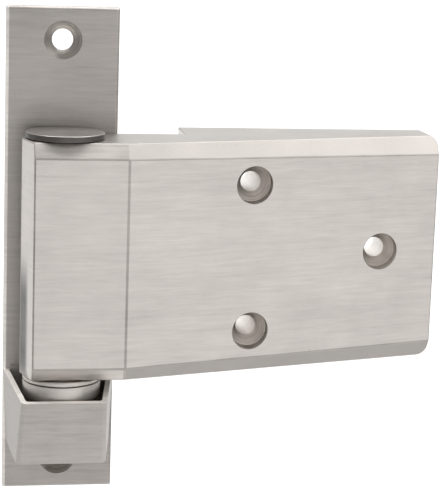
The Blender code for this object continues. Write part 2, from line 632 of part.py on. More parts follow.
def build_spring(material):
    """Torsion spring: a coil round the pin, each end turned along the pin into its slot."""
    steps = SPRING_TURNS * COIL_STEPS
    path = []
    for index in range(steps + 1):
        share = index / steps
        angle = spring_end_angle(share)
        z = SPRING_BOTTOM_Z + share * (SPRING_TOP_Z - SPRING_BOTTOM_Z)
        path.append(Vector((SPRING_RADIUS * math.cos(angle), PIN_Y + SPRING_RADIUS * math.sin(angle), z)))
    drop = Vector((0, 0, TANG_LENGTH + SPRING_WIRE))
    path = [path[0] - drop] + path + [path[-1] + drop]
    rings = []
    for index, centre in enumerate(path):
        before, after = path[max(0, index - 1)], path[min(len(path) - 1, index + 1)]
        along = (after - before).normalized()
        radial = Vector((centre.x, centre.y - PIN_Y, 0)).normalized()
        side = along.cross(radial).normalized()
        radial = side.cross(along)
        rings.append([
            centre + SPRING_WIRE * (math.cos(turn) * radial + math.sin(turn) * side)
            for turn in (2 * math.pi * corner / COARSE_ROUND for corner in range(COARSE_ROUND))
        ])
    return loft("torsion_spring", rings, material, smooth_angle=math.radians(60))


def build_clip(material):
    """Retaining clip in the pin's groove, open on one side."""
    inner = PIN_RADIUS - CLIP_GROOVE_DEPTH + CLEARANCE
    outer = inner + CLIP_WIDTH
    rings = []
    for index in range(SMALL_ROUND + 1):
        angle = CLIP_OPENING / 2 + (2 * math.pi - CLIP_OPENING) * index / SMALL_ROUND
        across = Vector((math.cos(angle), math.sin(angle), 0))
        profile = tube_profile(inner, outer, CLIP_Z, CLIP_Z + CLIP_THICKNESS)
        rings.append([Vector((0, PIN_Y, z)) + radius * across for radius, z in profile])
    return loft("retaining_clip", rings, material, smooth_angle=math.radians(30))


def build_cap(material, rubber):
    """Cap on top of the knuckle, with a spigot in the barrel and a seal ring in its groove."""
    flange_bottom = STRAP_TOP_Z + CLEARANCE
    spigot_bottom = flange_bottom - CAP_SPIGOT
    groove_z = (flange_bottom + spigot_bottom) / 2
    groove_half = SEAL_RADIUS + CLEARANCE
    groove_radius = SLEEVE_RADIUS - 2 * SEAL_RADIUS - CLEARANCE
    cap = turned_solid_on_pin("top_cap", [
        (spigot_bottom, SLEEVE_RADIUS - CAP_EDGE), (spigot_bottom + CAP_EDGE, SLEEVE_RADIUS),
        (groove_z - groove_half, SLEEVE_RADIUS), (groove_z - groove_half, groove_radius),
        (groove_z + groove_half, groove_radius), (groove_z + groove_half, SLEEVE_RADIUS),
        (flange_bottom, SLEEVE_RADIUS), (flange_bottom, COLLAR_RADIUS),
        (flange_bottom + CAP_FLANGE - CAP_EDGE, COLLAR_RADIUS),
        (flange_bottom + CAP_FLANGE, COLLAR_RADIUS - CAP_EDGE),
    ], material)
    hollow_radius = groove_radius - CAP_WALL
    hollow_depth = CUT_PAST + CAP_SPIGOT - CAP_WALL
    boolean(cap, rod("cap_hollow", (0, PIN_Y, spigot_bottom - CUT_PAST), (0, 0, 1),
                     [(0, hollow_radius), (hollow_depth, hollow_radius)]))
    centre = SLEEVE_RADIUS - SEAL_RADIUS
    profile = [(centre + SEAL_RADIUS * math.cos(turn), groove_z + SEAL_RADIUS * math.sin(turn))
               for turn in (2 * math.pi * corner / COARSE_ROUND for corner in range(COARSE_ROUND))]
    turned_on_pin("cap_seal", profile, rubber, sides=ROUND // 2)


def set_origins_on_pin():
    """Give every piece but the fixed ones an origin on the pin's axis, where it slides and turns."""
    axis = Vector((0, PIN_Y, 0))
    for piece in bpy.data.objects:
        if piece.data.materials and not piece.name.startswith(FIXED_PIECES):
            piece.data.transform(Matrix.Translation(-axis))
            piece.location = axis


def main():
    """Build every piece of the hinge."""
    clear_scene()
    nickel = make_material("satin_nickel", (0.60, 0.57, 0.54), 0.36, 1.0)
    steel = make_material("bright_steel", (0.62, 0.62, 0.63), 0.28, 1.0)
    bronze = make_material("bearing_bronze", (0.50, 0.34, 0.17), 0.40, 1.0)
    cam_metal = make_material("cam_metal", (0.52, 0.50, 0.48), 0.42, 1.0)
    rubber = make_material("seal_rubber", (0.02, 0.02, 0.02), 0.70, 0.0)
    build_flange(nickel)
    build_lower_cam(cam_metal)
    build_lower_dowels(steel)
    build_strap(nickel)
    build_upper_cam(cam_metal)
    build_upper_dowels(steel)
    ring_on_pin("lower_bushing", LOWER_BUSHING_Z, BUSHING_LENGTH, SLEEVE_RADIUS, bronze)
    ring_on_pin("upper_bushing", UPPER_BUSHING_Z, BUSHING_LENGTH, SLEEVE_RADIUS, bronze)
    build_spring_seats(steel, bronze)
    build_spring(steel)
    build_pin(steel)
    ring_on_pin("thrust_washer", THRUST_WASHER_Z, WASHER_THICKNESS, WASHER_RADIUS, steel)
    ring_on_pin("clip_washer", CLIP_WASHER_Z, WASHER_THICKNESS, WASHER_RADIUS, steel)
    build_clip(steel)
    build_cap(nickel, rubber)
    set_origins_on_pin()


main()
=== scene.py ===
"""Looks of a cam-rise door hinge: brushed flange and strap, turned cams, and the stack on the pin."""

from __future__ import annotations

import json
import logging
import math
from dataclasses import dataclass, field
from enum import Enum
from typing import Callable, Optional, Sequence, Union

import bmesh
import bpy
from mathutils import Matrix, Vector

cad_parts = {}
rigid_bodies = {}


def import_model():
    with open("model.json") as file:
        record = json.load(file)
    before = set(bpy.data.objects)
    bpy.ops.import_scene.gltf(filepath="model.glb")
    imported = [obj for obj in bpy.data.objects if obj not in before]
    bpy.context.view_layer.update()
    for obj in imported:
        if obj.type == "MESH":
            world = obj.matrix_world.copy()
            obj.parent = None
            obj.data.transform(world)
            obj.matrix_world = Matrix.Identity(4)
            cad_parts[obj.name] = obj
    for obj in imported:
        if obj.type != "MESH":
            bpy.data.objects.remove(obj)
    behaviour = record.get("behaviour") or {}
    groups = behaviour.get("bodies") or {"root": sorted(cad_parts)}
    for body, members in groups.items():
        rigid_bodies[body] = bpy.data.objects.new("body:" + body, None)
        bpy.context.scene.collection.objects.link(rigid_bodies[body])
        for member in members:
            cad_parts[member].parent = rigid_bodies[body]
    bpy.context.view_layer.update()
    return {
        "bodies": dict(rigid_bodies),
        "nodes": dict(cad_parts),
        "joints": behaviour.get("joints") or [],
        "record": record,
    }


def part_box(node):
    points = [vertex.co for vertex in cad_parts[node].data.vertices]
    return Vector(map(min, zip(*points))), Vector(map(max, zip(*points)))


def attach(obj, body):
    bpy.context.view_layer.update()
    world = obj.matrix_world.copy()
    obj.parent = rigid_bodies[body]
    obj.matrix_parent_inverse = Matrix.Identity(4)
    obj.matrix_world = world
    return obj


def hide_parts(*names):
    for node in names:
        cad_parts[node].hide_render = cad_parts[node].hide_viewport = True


LOG = logging.getLogger("hinge")
HOLE_SIDES = 96
SHARP_ABOVE = math.radians(28.0)
SAME_POINT = 1e-7
Point = tuple[float, float, float]
Profile = Sequence[tuple[float, float]]
Settings = dict[str, object]
Inputs = dict[Union[str, int], object]


class Face(Enum):
    """Material slots of a casting's mesh, in order."""

    BRUSHED = 0
    CAST = 1
    MACHINED = 2
    # Slot 3: painted highlight on the flange's pocket rim and left edge; on the strap, a slightly lighter,
    # rougher chamfer finish.
    EDGE_AND_PAINTED_HIGHLIGHT = 3
    # Slot 4: painted shade, a darker copy of the nickel on the strap's knuckle chamfer and thin rounded
    # edges.
    EDGE_PAINTED_SHADE = 4


class Along(Enum):
    """Direction of a brushed or turned grain, as the stretch of its noise along x, y and z."""

    X = (110.0, 110.0, 1500.0)
    ROUND_PIN = (30.0, 30.0, 2600.0)
    ROUND_SCREW = (60.0, 2600.0, 60.0)


def add_node(tree: bpy.types.NodeTree, kind: str, settings: Settings, inputs: Inputs) -> bpy.types.Node:
    """Add a node to a tree.

    Args:
        tree: the shader or geometry tree.
        kind: the node's type.
        settings: its own settings, set before its sockets.
        inputs: values, or output sockets to link, by socket name or number.

    Returns:
        The node.
    """
    made = tree.nodes.new(kind)
    for key, value in settings.items():
        setattr(made, key, value)
    for key, value in inputs.items():
        if isinstance(value, bpy.types.NodeSocket):
            tree.links.new(value, made.inputs[key])
        else:
            made.inputs[key].default_value = value
    return made


def put(name: str, data: bpy.types.ID) -> bpy.types.Object:
    """Make an object of a mesh, lamp or camera and link it to the scene.

    Args:
        name: the object's name.
        data: what it holds.

    Returns:
        The object.
    """
    placed = bpy.data.objects.new(name, data)
    bpy.context.scene.collection.objects.link(placed)
    return placed


# ---------------------------------------------------------------------------------------------
# Shader building


class Wire:
    """One output socket, with the operators that add Math nodes."""

    def __init__(self, graph: "Graph", socket: bpy.types.NodeSocket) -> None:
        """Keep the graph and the socket.

        Args:
            graph: the graph that the socket's node is in.
            socket: the output that is wrapped.
        """
        self.graph = graph
        self.socket = socket

    def _math(self, operation: str, first: "Value", second: "Value" = 0.0) -> "Wire":
        """Add a Math node.

        Args:
            operation: its operation.
            first: its first value.
            second: its second value.

        Returns:
            The node's result.
        """
        return self.graph.node("ShaderNodeMath", {"operation": operation}, {0: first, 1: second})

    def __add__(self, other: "Value") -> "Wire":
        """Sum."""
        return self._math("ADD", self, other)

    __radd__ = __add__

    def __sub__(self, other: "Value") -> "Wire":
        """Difference."""
        return self._math("SUBTRACT", self, other)

    def __rsub__(self, other: "Value") -> "Wire":
        """Difference, reflected."""
        return self._math("SUBTRACT", other, self)

    def __mul__(self, other: "Value") -> "Wire":
        """Product."""
        return self._math("MULTIPLY", self, other)

    __rmul__ = __mul__

    def over(self, limit: float, soft: float) -> "Wire":
        """Soft step.

        Args:
            limit: where the step is half way.
            soft: half the step's width.

        Returns:
            0 below the limit and 1 above it.
        """
        return self.graph.node(
            "ShaderNodeMapRange",
            {"interpolation_type": "SMOOTHSTEP"},
            {"Value": self, "From Min": limit - soft, "From Max": limit + soft},
        )


Value = Union[Wire, float, int, tuple]


class Graph:
    """A material's node tree, built a node at a time."""

    def __init__(self, name: str) -> None:
        """Start an empty material.

        Args:
            name: the material's name.
        """
        self.material = bpy.data.materials.new(name)
        self.material.use_nodes = True
        self.tree = self.material.node_tree
        self.tree.nodes.clear()

    def node(self, kind: str, settings: Settings, inputs: Inputs, out: Union[str, int] = 0) -> Wire:
        """Add any node.

        Args:
            kind: the node's type.
            settings: its own settings, set before its sockets.
            inputs: values or links, by socket name or number.
            out: the output that is wanted.

        Returns:
            That output.
        """
        plain = {key: value.socket if isinstance(value, Wire) else value for key, value in inputs.items()}
        return Wire(self, add_node(self.tree, kind, settings, plain).outputs[out])

    def place(self, scale: Point = (1.0, 1.0, 1.0), turn: Point = (0.0, 0.0, 0.0)) -> Wire:
        """Object coordinates, stretched and turned.

        Args:
            scale: factor along each axis.
            turn: angles round each axis.

        Returns:
            The vector.
        """
        spot = self.node("ShaderNodeTexCoord", {}, {}, "Object")
        return self.node("ShaderNodeMapping", {}, {"Vector": spot, "Scale": scale, "Rotation": turn})

    def noise(self, where: Wire, scale: float, detail: float = 3.0, rough: float = 0.5) -> Wire:
        """Noise value from 0 to 1.

        Args:
            where: the coordinates.
            scale: its scale.
            detail: its octaves.
            rough: its roughness.

        Returns:
            The noise's value.
        """
        return self.node("ShaderNodeTexNoise", {},
                         {"Vector": where, "Scale": scale, "Detail": detail, "Roughness": rough})

    def mix(self, share: Value, first: Value, second: Value) -> Wire:
        """Blend two colours.

        Args:
            share: how much of the second.
            first: colour at 0.
            second: colour at 1.

        Returns:
            The colour.
        """
        settings = {"data_type": "RGBA", "clamp_factor": True}
        return self.node("ShaderNodeMix", settings, {0: share, 6: first, 7: second}, 2)

    def bump(self, height: Wire, strength: float, distance: float) -> Wire:
        """Bumped normal of a height, with its strength and its depth in metres."""
        return self.node("ShaderNodeBump", {}, {"Height": height, "Strength": strength, "Distance": distance})

    def metal(self, colour: Wire, roughness: Wire, normal: Wire) -> bpy.types.Material:
        """Close the tree as bare metal."""
        return self.surface({"Metallic": 1.0},
                            {"Base Color": colour, "Roughness": roughness, "Normal": normal})

    def surface(self, constants: dict[str, Value], links: dict[str, Value]) -> bpy.types.Material:
        """Close the tree with a Principled shader.

        Args:
            constants: values set on its sockets.
            links: what varies over the surface.

        Returns:
            The finished material.
        """
        shader = self.node("ShaderNodeBsdfPrincipled", {}, {**constants, **links})
        end = self.tree.nodes.new("ShaderNodeOutputMaterial")
        self.tree.links.new(shader.socket, end.inputs["Surface"])
        return self.material


def tint(colour: Point, factor: float) -> tuple[float, float, float, float]:
    """Scale a colour.

    Args:
        colour: red, green and blue.
        factor: what they are multiplied by.

    Returns:
        The colour with an alpha of 1.
    """
    return (colour[0] * factor, colour[1] * factor, colour[2] * factor, 1.0)


# ---------------------------------------------------------------------------------------------
# Finishes


@dataclass(frozen=True)
class StainAndShade:
    """A darker patch, boxed in object space, with soft sides; it paints shade on the strap's knuckle and also
    makes a real smear.
    """

    centre: Point
    half: Point
    soft: Point
    strength: float

    def mask(self, graph: Graph) -> Wire:
        """Share of the stain at a point.

        Args:
            graph: the material's graph.

        Returns:
            The share, up to the patch's strength.
        """
        where = graph.place()
        mask = None
        for axis in range(3):
            value = graph.node("ShaderNodeSeparateXYZ", {}, {"Vector": where}, axis)
            low, high = self.centre[axis] - self.half[axis], self.centre[axis] + self.half[axis]
            window = value.over(low, self.soft[axis]) * (1.0 - value.over(high, self.soft[axis]))
            mask = window if mask is None else mask * window
        return mask * self.strength


@dataclass(frozen=True)
class BrushedNickel:
    """Satin nickel over a belt-brushed casting."""

    name: str
    colour: Point
    roughness: float
    grain: Along = Along.X
    streaks: float = 0.55
    clouds: float = 0.22
    pits: float = 0.6
    stains_and_shade: tuple[StainAndShade, ...] = ()

    def material(self) -> bpy.types.Material:
        """Build the finish.

        Returns:
            Its material.
        """
        graph = Graph(self.name)
        grain_at = graph.place(self.grain.value)
        fine = graph.noise(grain_at, 1.0, 4.0, 0.65)
        broad = graph.noise(graph.place(tuple(0.16 * part for part in self.grain.value)), 1.0, 3.0, 0.6)
        middle = graph.noise(graph.place(tuple(0.45 * part for part in self.grain.value)), 1.0, 3.0, 0.6)
        cloud = graph.noise(graph.place(), 34.0, 4.0, 0.55)
        patch = graph.noise(graph.place((1.0, 1.0, 1.0), (0.3, 0.2, 0.5)), 95.0, 5.0, 0.6)
        pit = graph.node("ShaderNodeTexVoronoi", {"feature": "F1"},
                         {"Vector": graph.place(), "Scale": 260.0, "Randomness": 1.0})
        chosen = graph.noise(graph.place(), 120.0, 1.0).over(0.69, 0.01)
        dot = (1.0 - pit.over(0.085, 0.03)) * chosen
        streak = fine * 0.4 + middle * 0.4 + broad * 0.2
        tone = (streak - 0.5) * (2.0 * self.streaks) + (cloud - 0.5) * (2.0 * self.clouds)
        tone = tone + (patch - 0.5) * 0.2
        base = graph.mix(tone + 0.5, tint(self.colour, 0.62), tint(self.colour, 1.28))
        dotted = graph.mix(dot * self.pits, base, tint(self.colour, 0.25))
        # Darker patches mix toward a near-black copy of the colour: painted shade on the knuckle, and one
        # real smear.
        for dark_patch in self.stains_and_shade:
            dotted = graph.mix(dark_patch.mask(graph), dotted, tint(self.colour, 0.12))
        roughness = (streak - 0.5) * 0.4 + (cloud - 0.5) * 0.2 + (dot * 0.2) + self.roughness
        height = fine * 0.7 + broad * 0.5 - dot * 1.5
        bump = graph.bump(height, 0.5, 0.00008)
        return graph.metal(dotted, roughness, bump)


@dataclass(frozen=True)
class CastNickel:
    """Satin nickel over a casting's own skin, where the belt didn't reach."""

    name: str
    colour: Point
    roughness: float = 0.46

    def material(self) -> bpy.types.Material:
        """Build the finish.

        Returns:
            Its material.
        """
        graph = Graph(self.name)
        skin = graph.noise(graph.place(), 900.0, 4.0, 0.6)
        cloud = graph.noise(graph.place(), 45.0, 3.0, 0.5)
        base = graph.mix(skin * 0.5 + cloud * 0.5, tint(self.colour, 0.72), tint(self.colour, 1.22))
        roughness = (skin - 0.5) * 0.25 + self.roughness
        bump = graph.bump(skin, 0.35, 0.00009)
        return graph.metal(base, roughness, bump)


@dataclass(frozen=True)
class TurnedMetal:
    """Metal cut on a lathe or with a countersink: fine rings round its axis."""

    name: str
    colour: Point
    roughness: float
    grain: Along = Along.ROUND_PIN
    rings: float = 0.14
    strength: float = 0.3

    def material(self) -> bpy.types.Material:
        """Build the finish.

        Returns:
            Its material.
        """
        graph = Graph(self.name)
        ring = graph.noise(graph.place(self.grain.value), 1.0, 4.0, 0.7)
        cloud = graph.noise(graph.place(), 160.0, 3.0, 0.5)
        tone = (ring - 0.5) * (2.0 * self.rings) + (cloud - 0.5) * 0.24 + 0.5
        base = graph.mix(tone, tint(self.colour, 0.6), tint(self.colour, 1.3))
        roughness = (ring - 0.5) * 0.2 + (cloud - 0.5) * 0.1 + self.roughness
        bump = graph.bump(ring, self.strength, 0.00005)
        return graph.metal(base, roughness, bump)


@dataclass(frozen=True)
class SealRubber:
    """Black rubber with a faint bloom."""

    name: str
    colour: Point = (0.018, 0.018, 0.018)

    def material(self) -> bpy.types.Material:
        """Build the finish.

        Returns:
            Its material.
        """
        graph = Graph(self.name)
        bloom = graph.noise(graph.place(), 500.0, 3.0)
        base = graph.mix(bloom, tint(self.colour, 0.7), tint(self.colour, 1.9))
        return graph.surface({"Metallic": 0.0}, {"Base Color": base, "Roughness": bloom * 0.25 + 0.55})


# ---------------------------------------------------------------------------------------------
# Mesh building


@dataclass
class Datum:
    """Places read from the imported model: the pin's axis and the boxes of its pieces."""

    pin: Vector
    flange: tuple[Vector, Vector]
    strap: tuple[Vector, Vector]
    lower_cam: tuple[Vector, Vector]
    upper_cam: tuple[Vector, Vector]
    cap: tuple[Vector, Vector]
    spring: tuple[Vector, Vector]

    @classmethod
    def read(cls, frame: dict) -> "Datum":
        """Read the places.


        Returns:
            The places.
        """
        joints = frame["record"]["behaviour"]["joints"]
        swing = next(joint for joint in joints if joint["name"] == "door_swing")
        boxes = [
            tuple(Vector(corner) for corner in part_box(node))
            for node in ("frame_flange", "door_strap", "lower_cam", "upper_cam", "top_cap", "torsion_spring")
        ]
        return cls(Vector(swing["pos_m"]), *boxes)


def around(pin: Vector, radius: float, turn: float, z: float) -> Vector:
    """Point at a radius, angle and height round the pin."""
    return Vector((pin.x + radius * math.cos(turn), pin.y + radius * math.sin(turn), z))


def circle(pin: Vector, radius: float, z: float, sides: int) -> list[Vector]:
    """Evenly spaced points of a circle round the pin."""
    return [around(pin, radius, 2 * math.pi * index / sides, z) for index in range(sides)]


class Shape:
    """Solids made from rings of points, and what is done to them."""

    @staticmethod
    def closed_up(name: str, made: bmesh.types.BMesh) -> bpy.types.Object:
        """Turn a closed bmesh into an object whose faces point outwards.

        Args:
            name: the object's name.
            made: the bmesh, which is freed.

        Returns:
            The object.
        """
        bmesh.ops.recalc_face_normals(made, faces=made.faces[:])
        mesh = bpy.data.meshes.new(name)
        made.to_mesh(mesh)
        made.free()
        return put(name, mesh)

    @staticmethod
    def bake(piece: bpy.types.Object) -> None:
        """Replace an object's mesh and modifiers by the mesh that they make.

        Args:
            piece: the object.
        """
        shaped = piece.evaluated_get(bpy.context.evaluated_depsgraph_get())
        mesh = bpy.data.meshes.new_from_object(shaped)
        piece.modifiers.clear()
        old, piece.data = piece.data, mesh
        bpy.data.meshes.remove(old)

    @staticmethod
    def from_rings(name: str, rings: Sequence[Sequence[Vector]], closed: bool = False) -> bpy.types.Object:
        """Join rings of equal length into a solid.

        Args:
            name: the object's name.
            rings: the rings, in order.
            closed: whether the last ring joins the first; otherwise the ends are capped.

        Returns:
            The object.
        """
        made = bmesh.new()
        loops = [[made.verts.new(point) for point in ring] for ring in rings]
        pairs = list(zip(loops, loops[1:])) + ([(loops[-1], loops[0])] if closed else [])
        for first, second in pairs:
            for index in range(len(first)):
                after = (index + 1) % len(first)
                made.faces.new((first[index], first[after], second[after], second[index]))
        if not closed:
            made.faces.new(loops[0][::-1])
            made.faces.new(loops[-1])
        return Shape.closed_up(name, made)

    @staticmethod
    def swept(name: str, pin: Vector, sections: Sequence[tuple[float, Profile]]) -> bpy.types.Object:
        """Join closed outlines of (radius, z), each at its own angle round the pin.

        Args:
            name: the object's name.
            pin: a point on the axis.
            sections: angle and outline of each.

        Returns:
            The object.
        """
        rings = [
            [around(pin, radius, angle, z) for radius, z in outline]
            for angle, outline in sections
        ]
        return Shape.from_rings(name, rings, closed=True)

    @staticmethod
    def turned(name: str, pin: Vector, profile: Profile, sides: int) -> bpy.types.Object:
        """Turn an open profile of (radius, z), whose two ends are on the axis, round the pin.

        Args:
            name: the object's name.
            pin: a point on the axis.
            profile: the profile.
            sides: how many sides it has.

        Returns:
            The object.
        """
        made = bmesh.new()
        rings = [[made.verts.new(point) for point in circle(pin, radius, z, sides)]
                 for radius, z in profile[1:-1]]
        for first, second in zip(rings, rings[1:]):
            for index in range(sides):
                after = (index + 1) % sides
                made.faces.new((first[index], first[after], second[after], second[index]))
        made.faces.new(rings[0])
        made.faces.new(rings[-1])
        return Shape.closed_up(name, made)

    @staticmethod
    def well(name: str, centre: tuple[float, float],
             stations: Sequence[tuple[Callable[[float], float], float]]) -> bpy.types.Object:
        """A round solid along y whose ends may follow a sloping face.

        Args:
            name: the object's name.
            centre: x and z of its axis.
            stations: a function from x to y, and a radius, for each ring.

        Returns:
            The object.
        """
        rings = []
        for depth, radius in stations:
            ring = []
            for index in range(HOLE_SIDES):
                angle = 2 * math.pi * index / HOLE_SIDES
                x = centre[0] + radius * math.cos(angle)
                ring.append(Vector((x, depth(x), centre[1] + radius * math.sin(angle))))
            rings.append(ring)
        return Shape.from_rings(name, rings)

    @staticmethod
    def block(name: str, outline: Sequence[tuple[float, float]], low: float, high: float) -> bpy.types.Object:
        """Extrude an outline in x and y between two heights."""
        return Shape.from_rings(name, [[Vector((x, y, z)) for x, y in outline] for z in (low, high)])

    @staticmethod
    def soften(piece: bpy.types.Object, width: float, above: float, segments: int = 3) -> None:
        """Round the edges that turn by more than an angle.

        Args:
            piece: the object.
            width: the bevel's width.
            above: the angle in degrees.
            segments: its segments.
        """
        step = piece.modifiers.new("soften", "BEVEL")
        step.width = width
        step.segments = segments
        step.limit_method = "ANGLE"
        step.angle_limit = math.radians(above)
        step.miter_outer = "MITER_ARC"

    @staticmethod
    def round_edges(piece: bpy.types.Object, radius: float, chosen: Callable[[Vector, Vector], bool]) -> None:
        """Round only some edges.

        Args:
            piece: the object.
            radius: the rounding's width.
            chosen: says from an edge's two ends whether it is rounded.
        """
        mesh = piece.data
        weights = mesh.attributes.new("bevel_weight_edge", "FLOAT", "EDGE")
        for edge in mesh.edges:
            ends = [mesh.vertices[index].co for index in edge.vertices]
            weights.data[edge.index].value = 1.0 if chosen(*ends) else 0.0
        step = piece.modifiers.new("round", "BEVEL")
        step.width = radius
        step.segments = 8
        step.limit_method = "WEIGHT"

    @staticmethod
    def cut(piece: bpy.types.Object, other: bpy.types.Object, operation: str = "DIFFERENCE") -> None:
        """Cut or join with another object.

        Args:
            piece: the object that stays.
            other: the object that cuts or joins.
            operation: the Boolean's operation.
        """
        step = piece.modifiers.new(other.name, "BOOLEAN")
        step.operation = operation
        step.solver = "EXACT"
        step.object = other
        other.hide_render = True

    @staticmethod
    def settle(piece: bpy.types.Object, helpers: Sequence[bpy.types.Object] = ()) -> None:
        """Turn an object with modifiers into a plain smooth mesh and remove its helpers.

        Args:
            piece: the object.
            helpers: objects that only shaped it.
        """
        Shape.bake(piece)
        mesh = piece.data
        made = bmesh.new()
        made.from_mesh(mesh)
        bmesh.ops.remove_doubles(made, verts=made.verts[:], dist=SAME_POINT)
        bmesh.ops.dissolve_degenerate(made, edges=made.edges[:], dist=SAME_POINT)
        made.to_mesh(mesh)
        made.free()
        mesh.materials.clear()
        mesh.shade_smooth()
        mesh.set_sharp_from_angle(angle=SHARP_ABOVE)
        step = piece.modifiers.new("weigh", "WEIGHTED_NORMAL")
        step.weight = 100
        step.keep_sharp = True
        Shape.bake(piece)
        for helper in helpers:
            bpy.data.objects.remove(helper, do_unlink=True)

    @staticmethod
    def hand_over(piece: bpy.types.Object, body: str, slot: str, *nodes: str) -> None:
        """Give a finished piece to its body, in place of the CAD's own.

        Args:
            piece: the finished piece.
            body: the body it rides on.
            slot: the record's material slot; not used.
            nodes: the CAD nodes it stands for.
        """
        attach(piece, body)
        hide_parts(*nodes)
        LOG.info("%s: %d faces, rides on %s", piece.name, len(piece.data.polygons), body)


def arc(centre: tuple[float, float], radius: float, start: float, end: float,
        steps: int) -> list[tuple[float, float]]:
    """Points on an arc in a plane.

    Args:
        centre: its centre.
        radius: its radius.
        start: its first angle in degrees.
        end: its last angle in degrees.
        steps: how many steps it takes.

    Returns:
        The points.
    """
    angles = [math.radians(start + (end - start) * index / steps) for index in range(steps + 1)]
    return [(centre[0] + radius * math.cos(turn), centre[1] + radius * math.sin(turn)) for turn in angles]


# ---------------------------------------------------------------------------------------------
# The hinge's sub-assemblies


@dataclass
class FrameFlange:
    """Flange plate with its two screw holes, and the pocket for the cam."""

    datum: Datum
    plate: float = 0.0045
    edge: float = 0.0008
    foot: float = 0.0142
    base: float = 0.0162
    wall: float = 0.0018
    side_gap: float = 0.0017
    front_gap: float = 0.0004
    taper: float = 0.1525
    draft: float = 0.033
    lean: float = 0.49
    bottom_slope: float = 0.2
    rim_step: float = 0.0011
    rim_drop: float = 0.0003
    ledge_rise: float = 0.0014
    ledge_thickness: float = 0.0005
    collar_height: float = 0.0054
    screw_end: float = 0.0112
    head: float = 0.0064
    hole: float = 0.0036
    cone: float = math.radians(41)
    socket_depth: float = 0.0089
    socket_corner: float = 0.0052
    past: float = 0.004
    corner_round: float = 0.0016
    hollow_round: float = 0.0008
    rim_round: float = 0.0005
    plate_round: float = 0.0003
    ledge_clear: float = 0.0003
    rim_proud: float = 0.0003
    rim_break: float = 0.00006
    rim_depth: float = 0.00025
    rim_inset: float = 0.0001

    def collar(self) -> tuple[float, float, float]:
        """Radius of the cams' collar, and its lower and upper heights."""
        low, high = self.datum.lower_cam
        return (high.x - low.x) / 2, high.z - self.collar_height, high.z

    def half_width(self, y: float, z: float) -> float:
        """Half the pocket's outer width.

        Args:
            y: depth.
            z: height.

        Returns:
            The half width.
        """
        radius, _, top = self.collar()
        at_rim = radius + self.side_gap + self.wall + self.taper * (y - self.datum.pin.y)
        return at_rim - self.draft * (top - self.rim_drop - z)

    def inner_front(self, z: float) -> float:
        """Depth of the pocket's inner front face at a height."""
        radius, bottom, _ = self.collar()
        return self.datum.pin.y - radius - self.front_gap + self.lean * (bottom - z)

    def at_left_edge(self, spot: Vector) -> bool:
        """Whether a point is on the plate's left outer edge."""
        return spot.x - self.datum.flange[0].x < self.edge * 1.1

    def pocket(self) -> tuple[bpy.types.Object, list[bpy.types.Object]]:
        """Build the pocket, open at the top, with softened edges.

        Returns:
            The pocket, and the helpers that shape it.
        """
        _, bottom, top = self.collar()
        low_z = self.datum.flange[0].z + self.foot
        floor = low_z + self.base
        root = -self.plate + self.edge
        rim_front, rim_back = bottom + self.rim_step, top - self.rim_drop
        slant = self.wall * math.hypot(1, self.lean)
        rings = []
        for front_z, back_z in ((low_z, None), (rim_front, rim_back)):
            front_y = self.inner_front(front_z) - slant
            back_z = front_z + (root - front_y) * self.bottom_slope if back_z is None else back_z
            spots = ((-1, root, back_z), (-1, front_y, front_z), (1, front_y, front_z), (1, root, back_z))
            rings.append([Vector((side * self.half_width(y, z), y, z)) for side, y, z in spots])
        pocket = Shape.from_rings("pocket", rings)
        hollow_back = -self.plate - self.ledge_thickness
        rings = []
        for z in (floor, rim_back + self.ledge_rise + self.past):
            spots = ((-1, hollow_back), (-1, self.inner_front(z)), (1, self.inner_front(z)), (1, hollow_back))
            rings.append([Vector((side * (self.half_width(y, z) - self.wall), y, z)) for side, y in spots])
        hollow = Shape.from_rings("pocket_hollow", rings)
        Shape.soften(hollow, self.hollow_round, 20)
        Shape.round_edges(pocket, self.corner_round,
                          lambda first, second: max(first.y, second.y) < root - 0.003
                          and abs(first.z - second.z) > 0.005)
        Shape.cut(pocket, hollow)
        Shape.soften(pocket, self.rim_round, 25)
        return pocket, [hollow]

    def build(self) -> bpy.types.Object:
        """Build the flange.

        Returns:
            The finished flange.
        """
        low, high = self.datum.flange
        rings = []
        for y, inset in ((0.0, 0.0), (-self.plate + self.edge, 0.0), (-self.plate, self.edge)):
            left, right, foot, head = low.x + inset, high.x - inset, low.z + inset, high.z - inset
            rings.append([Vector(spot) for spot in ((left, y, foot), (right, y, foot), (right, y, head),
                                                     (left, y, head))])
        flange = Shape.from_rings("flange", rings)
        Shape.soften(flange, self.plate_round, 20)
        pocket, helpers = self.pocket()
        Shape.cut(flange, pocket, "UNION")
        _, bottom, top = self.collar()
        half = self.half_width(-self.plate, top) - self.wall - self.ledge_clear
        sunk, proud = -self.plate + self.edge, -self.plate - self.ledge_thickness
        ledge = Shape.block("ledge", [(-half, sunk), (-half, proud), (half, proud), (half, sunk)],
                            bottom + self.rim_step, top - self.rim_drop + self.ledge_rise)
        Shape.cut(flange, ledge, "UNION")
        helpers += [pocket, ledge]
        depth = (self.head - self.hole) / math.tan(self.cone)
        for side in (-1, 1):
            z = side * (high.z - self.screw_end)
            stations = [
                (lambda x: -self.plate - self.rim_proud, self.head + 2 * self.rim_break),
                (lambda x: -self.plate, self.head + self.rim_break),
                (lambda x: -self.plate + self.rim_depth, self.head - self.rim_inset),
                (lambda x: -self.plate + depth, self.hole),
                (lambda x: self.past, self.hole),
            ]
            hole = Shape.well(f"frame_hole_{side:+d}", (0.0, z), stations)
            Shape.cut(flange, hole)
            helpers.append(hole)
        floor = self.datum.flange[0].z + self.foot + self.base
        socket = Shape.from_rings("socket", [circle(self.datum.pin, self.socket_corner, z, 6)
                                             for z in (floor - self.socket_depth, floor + self.past)])
        Shape.cut(flange, socket)
        helpers.append(socket)
        Shape.settle(flange, helpers)
        return flange

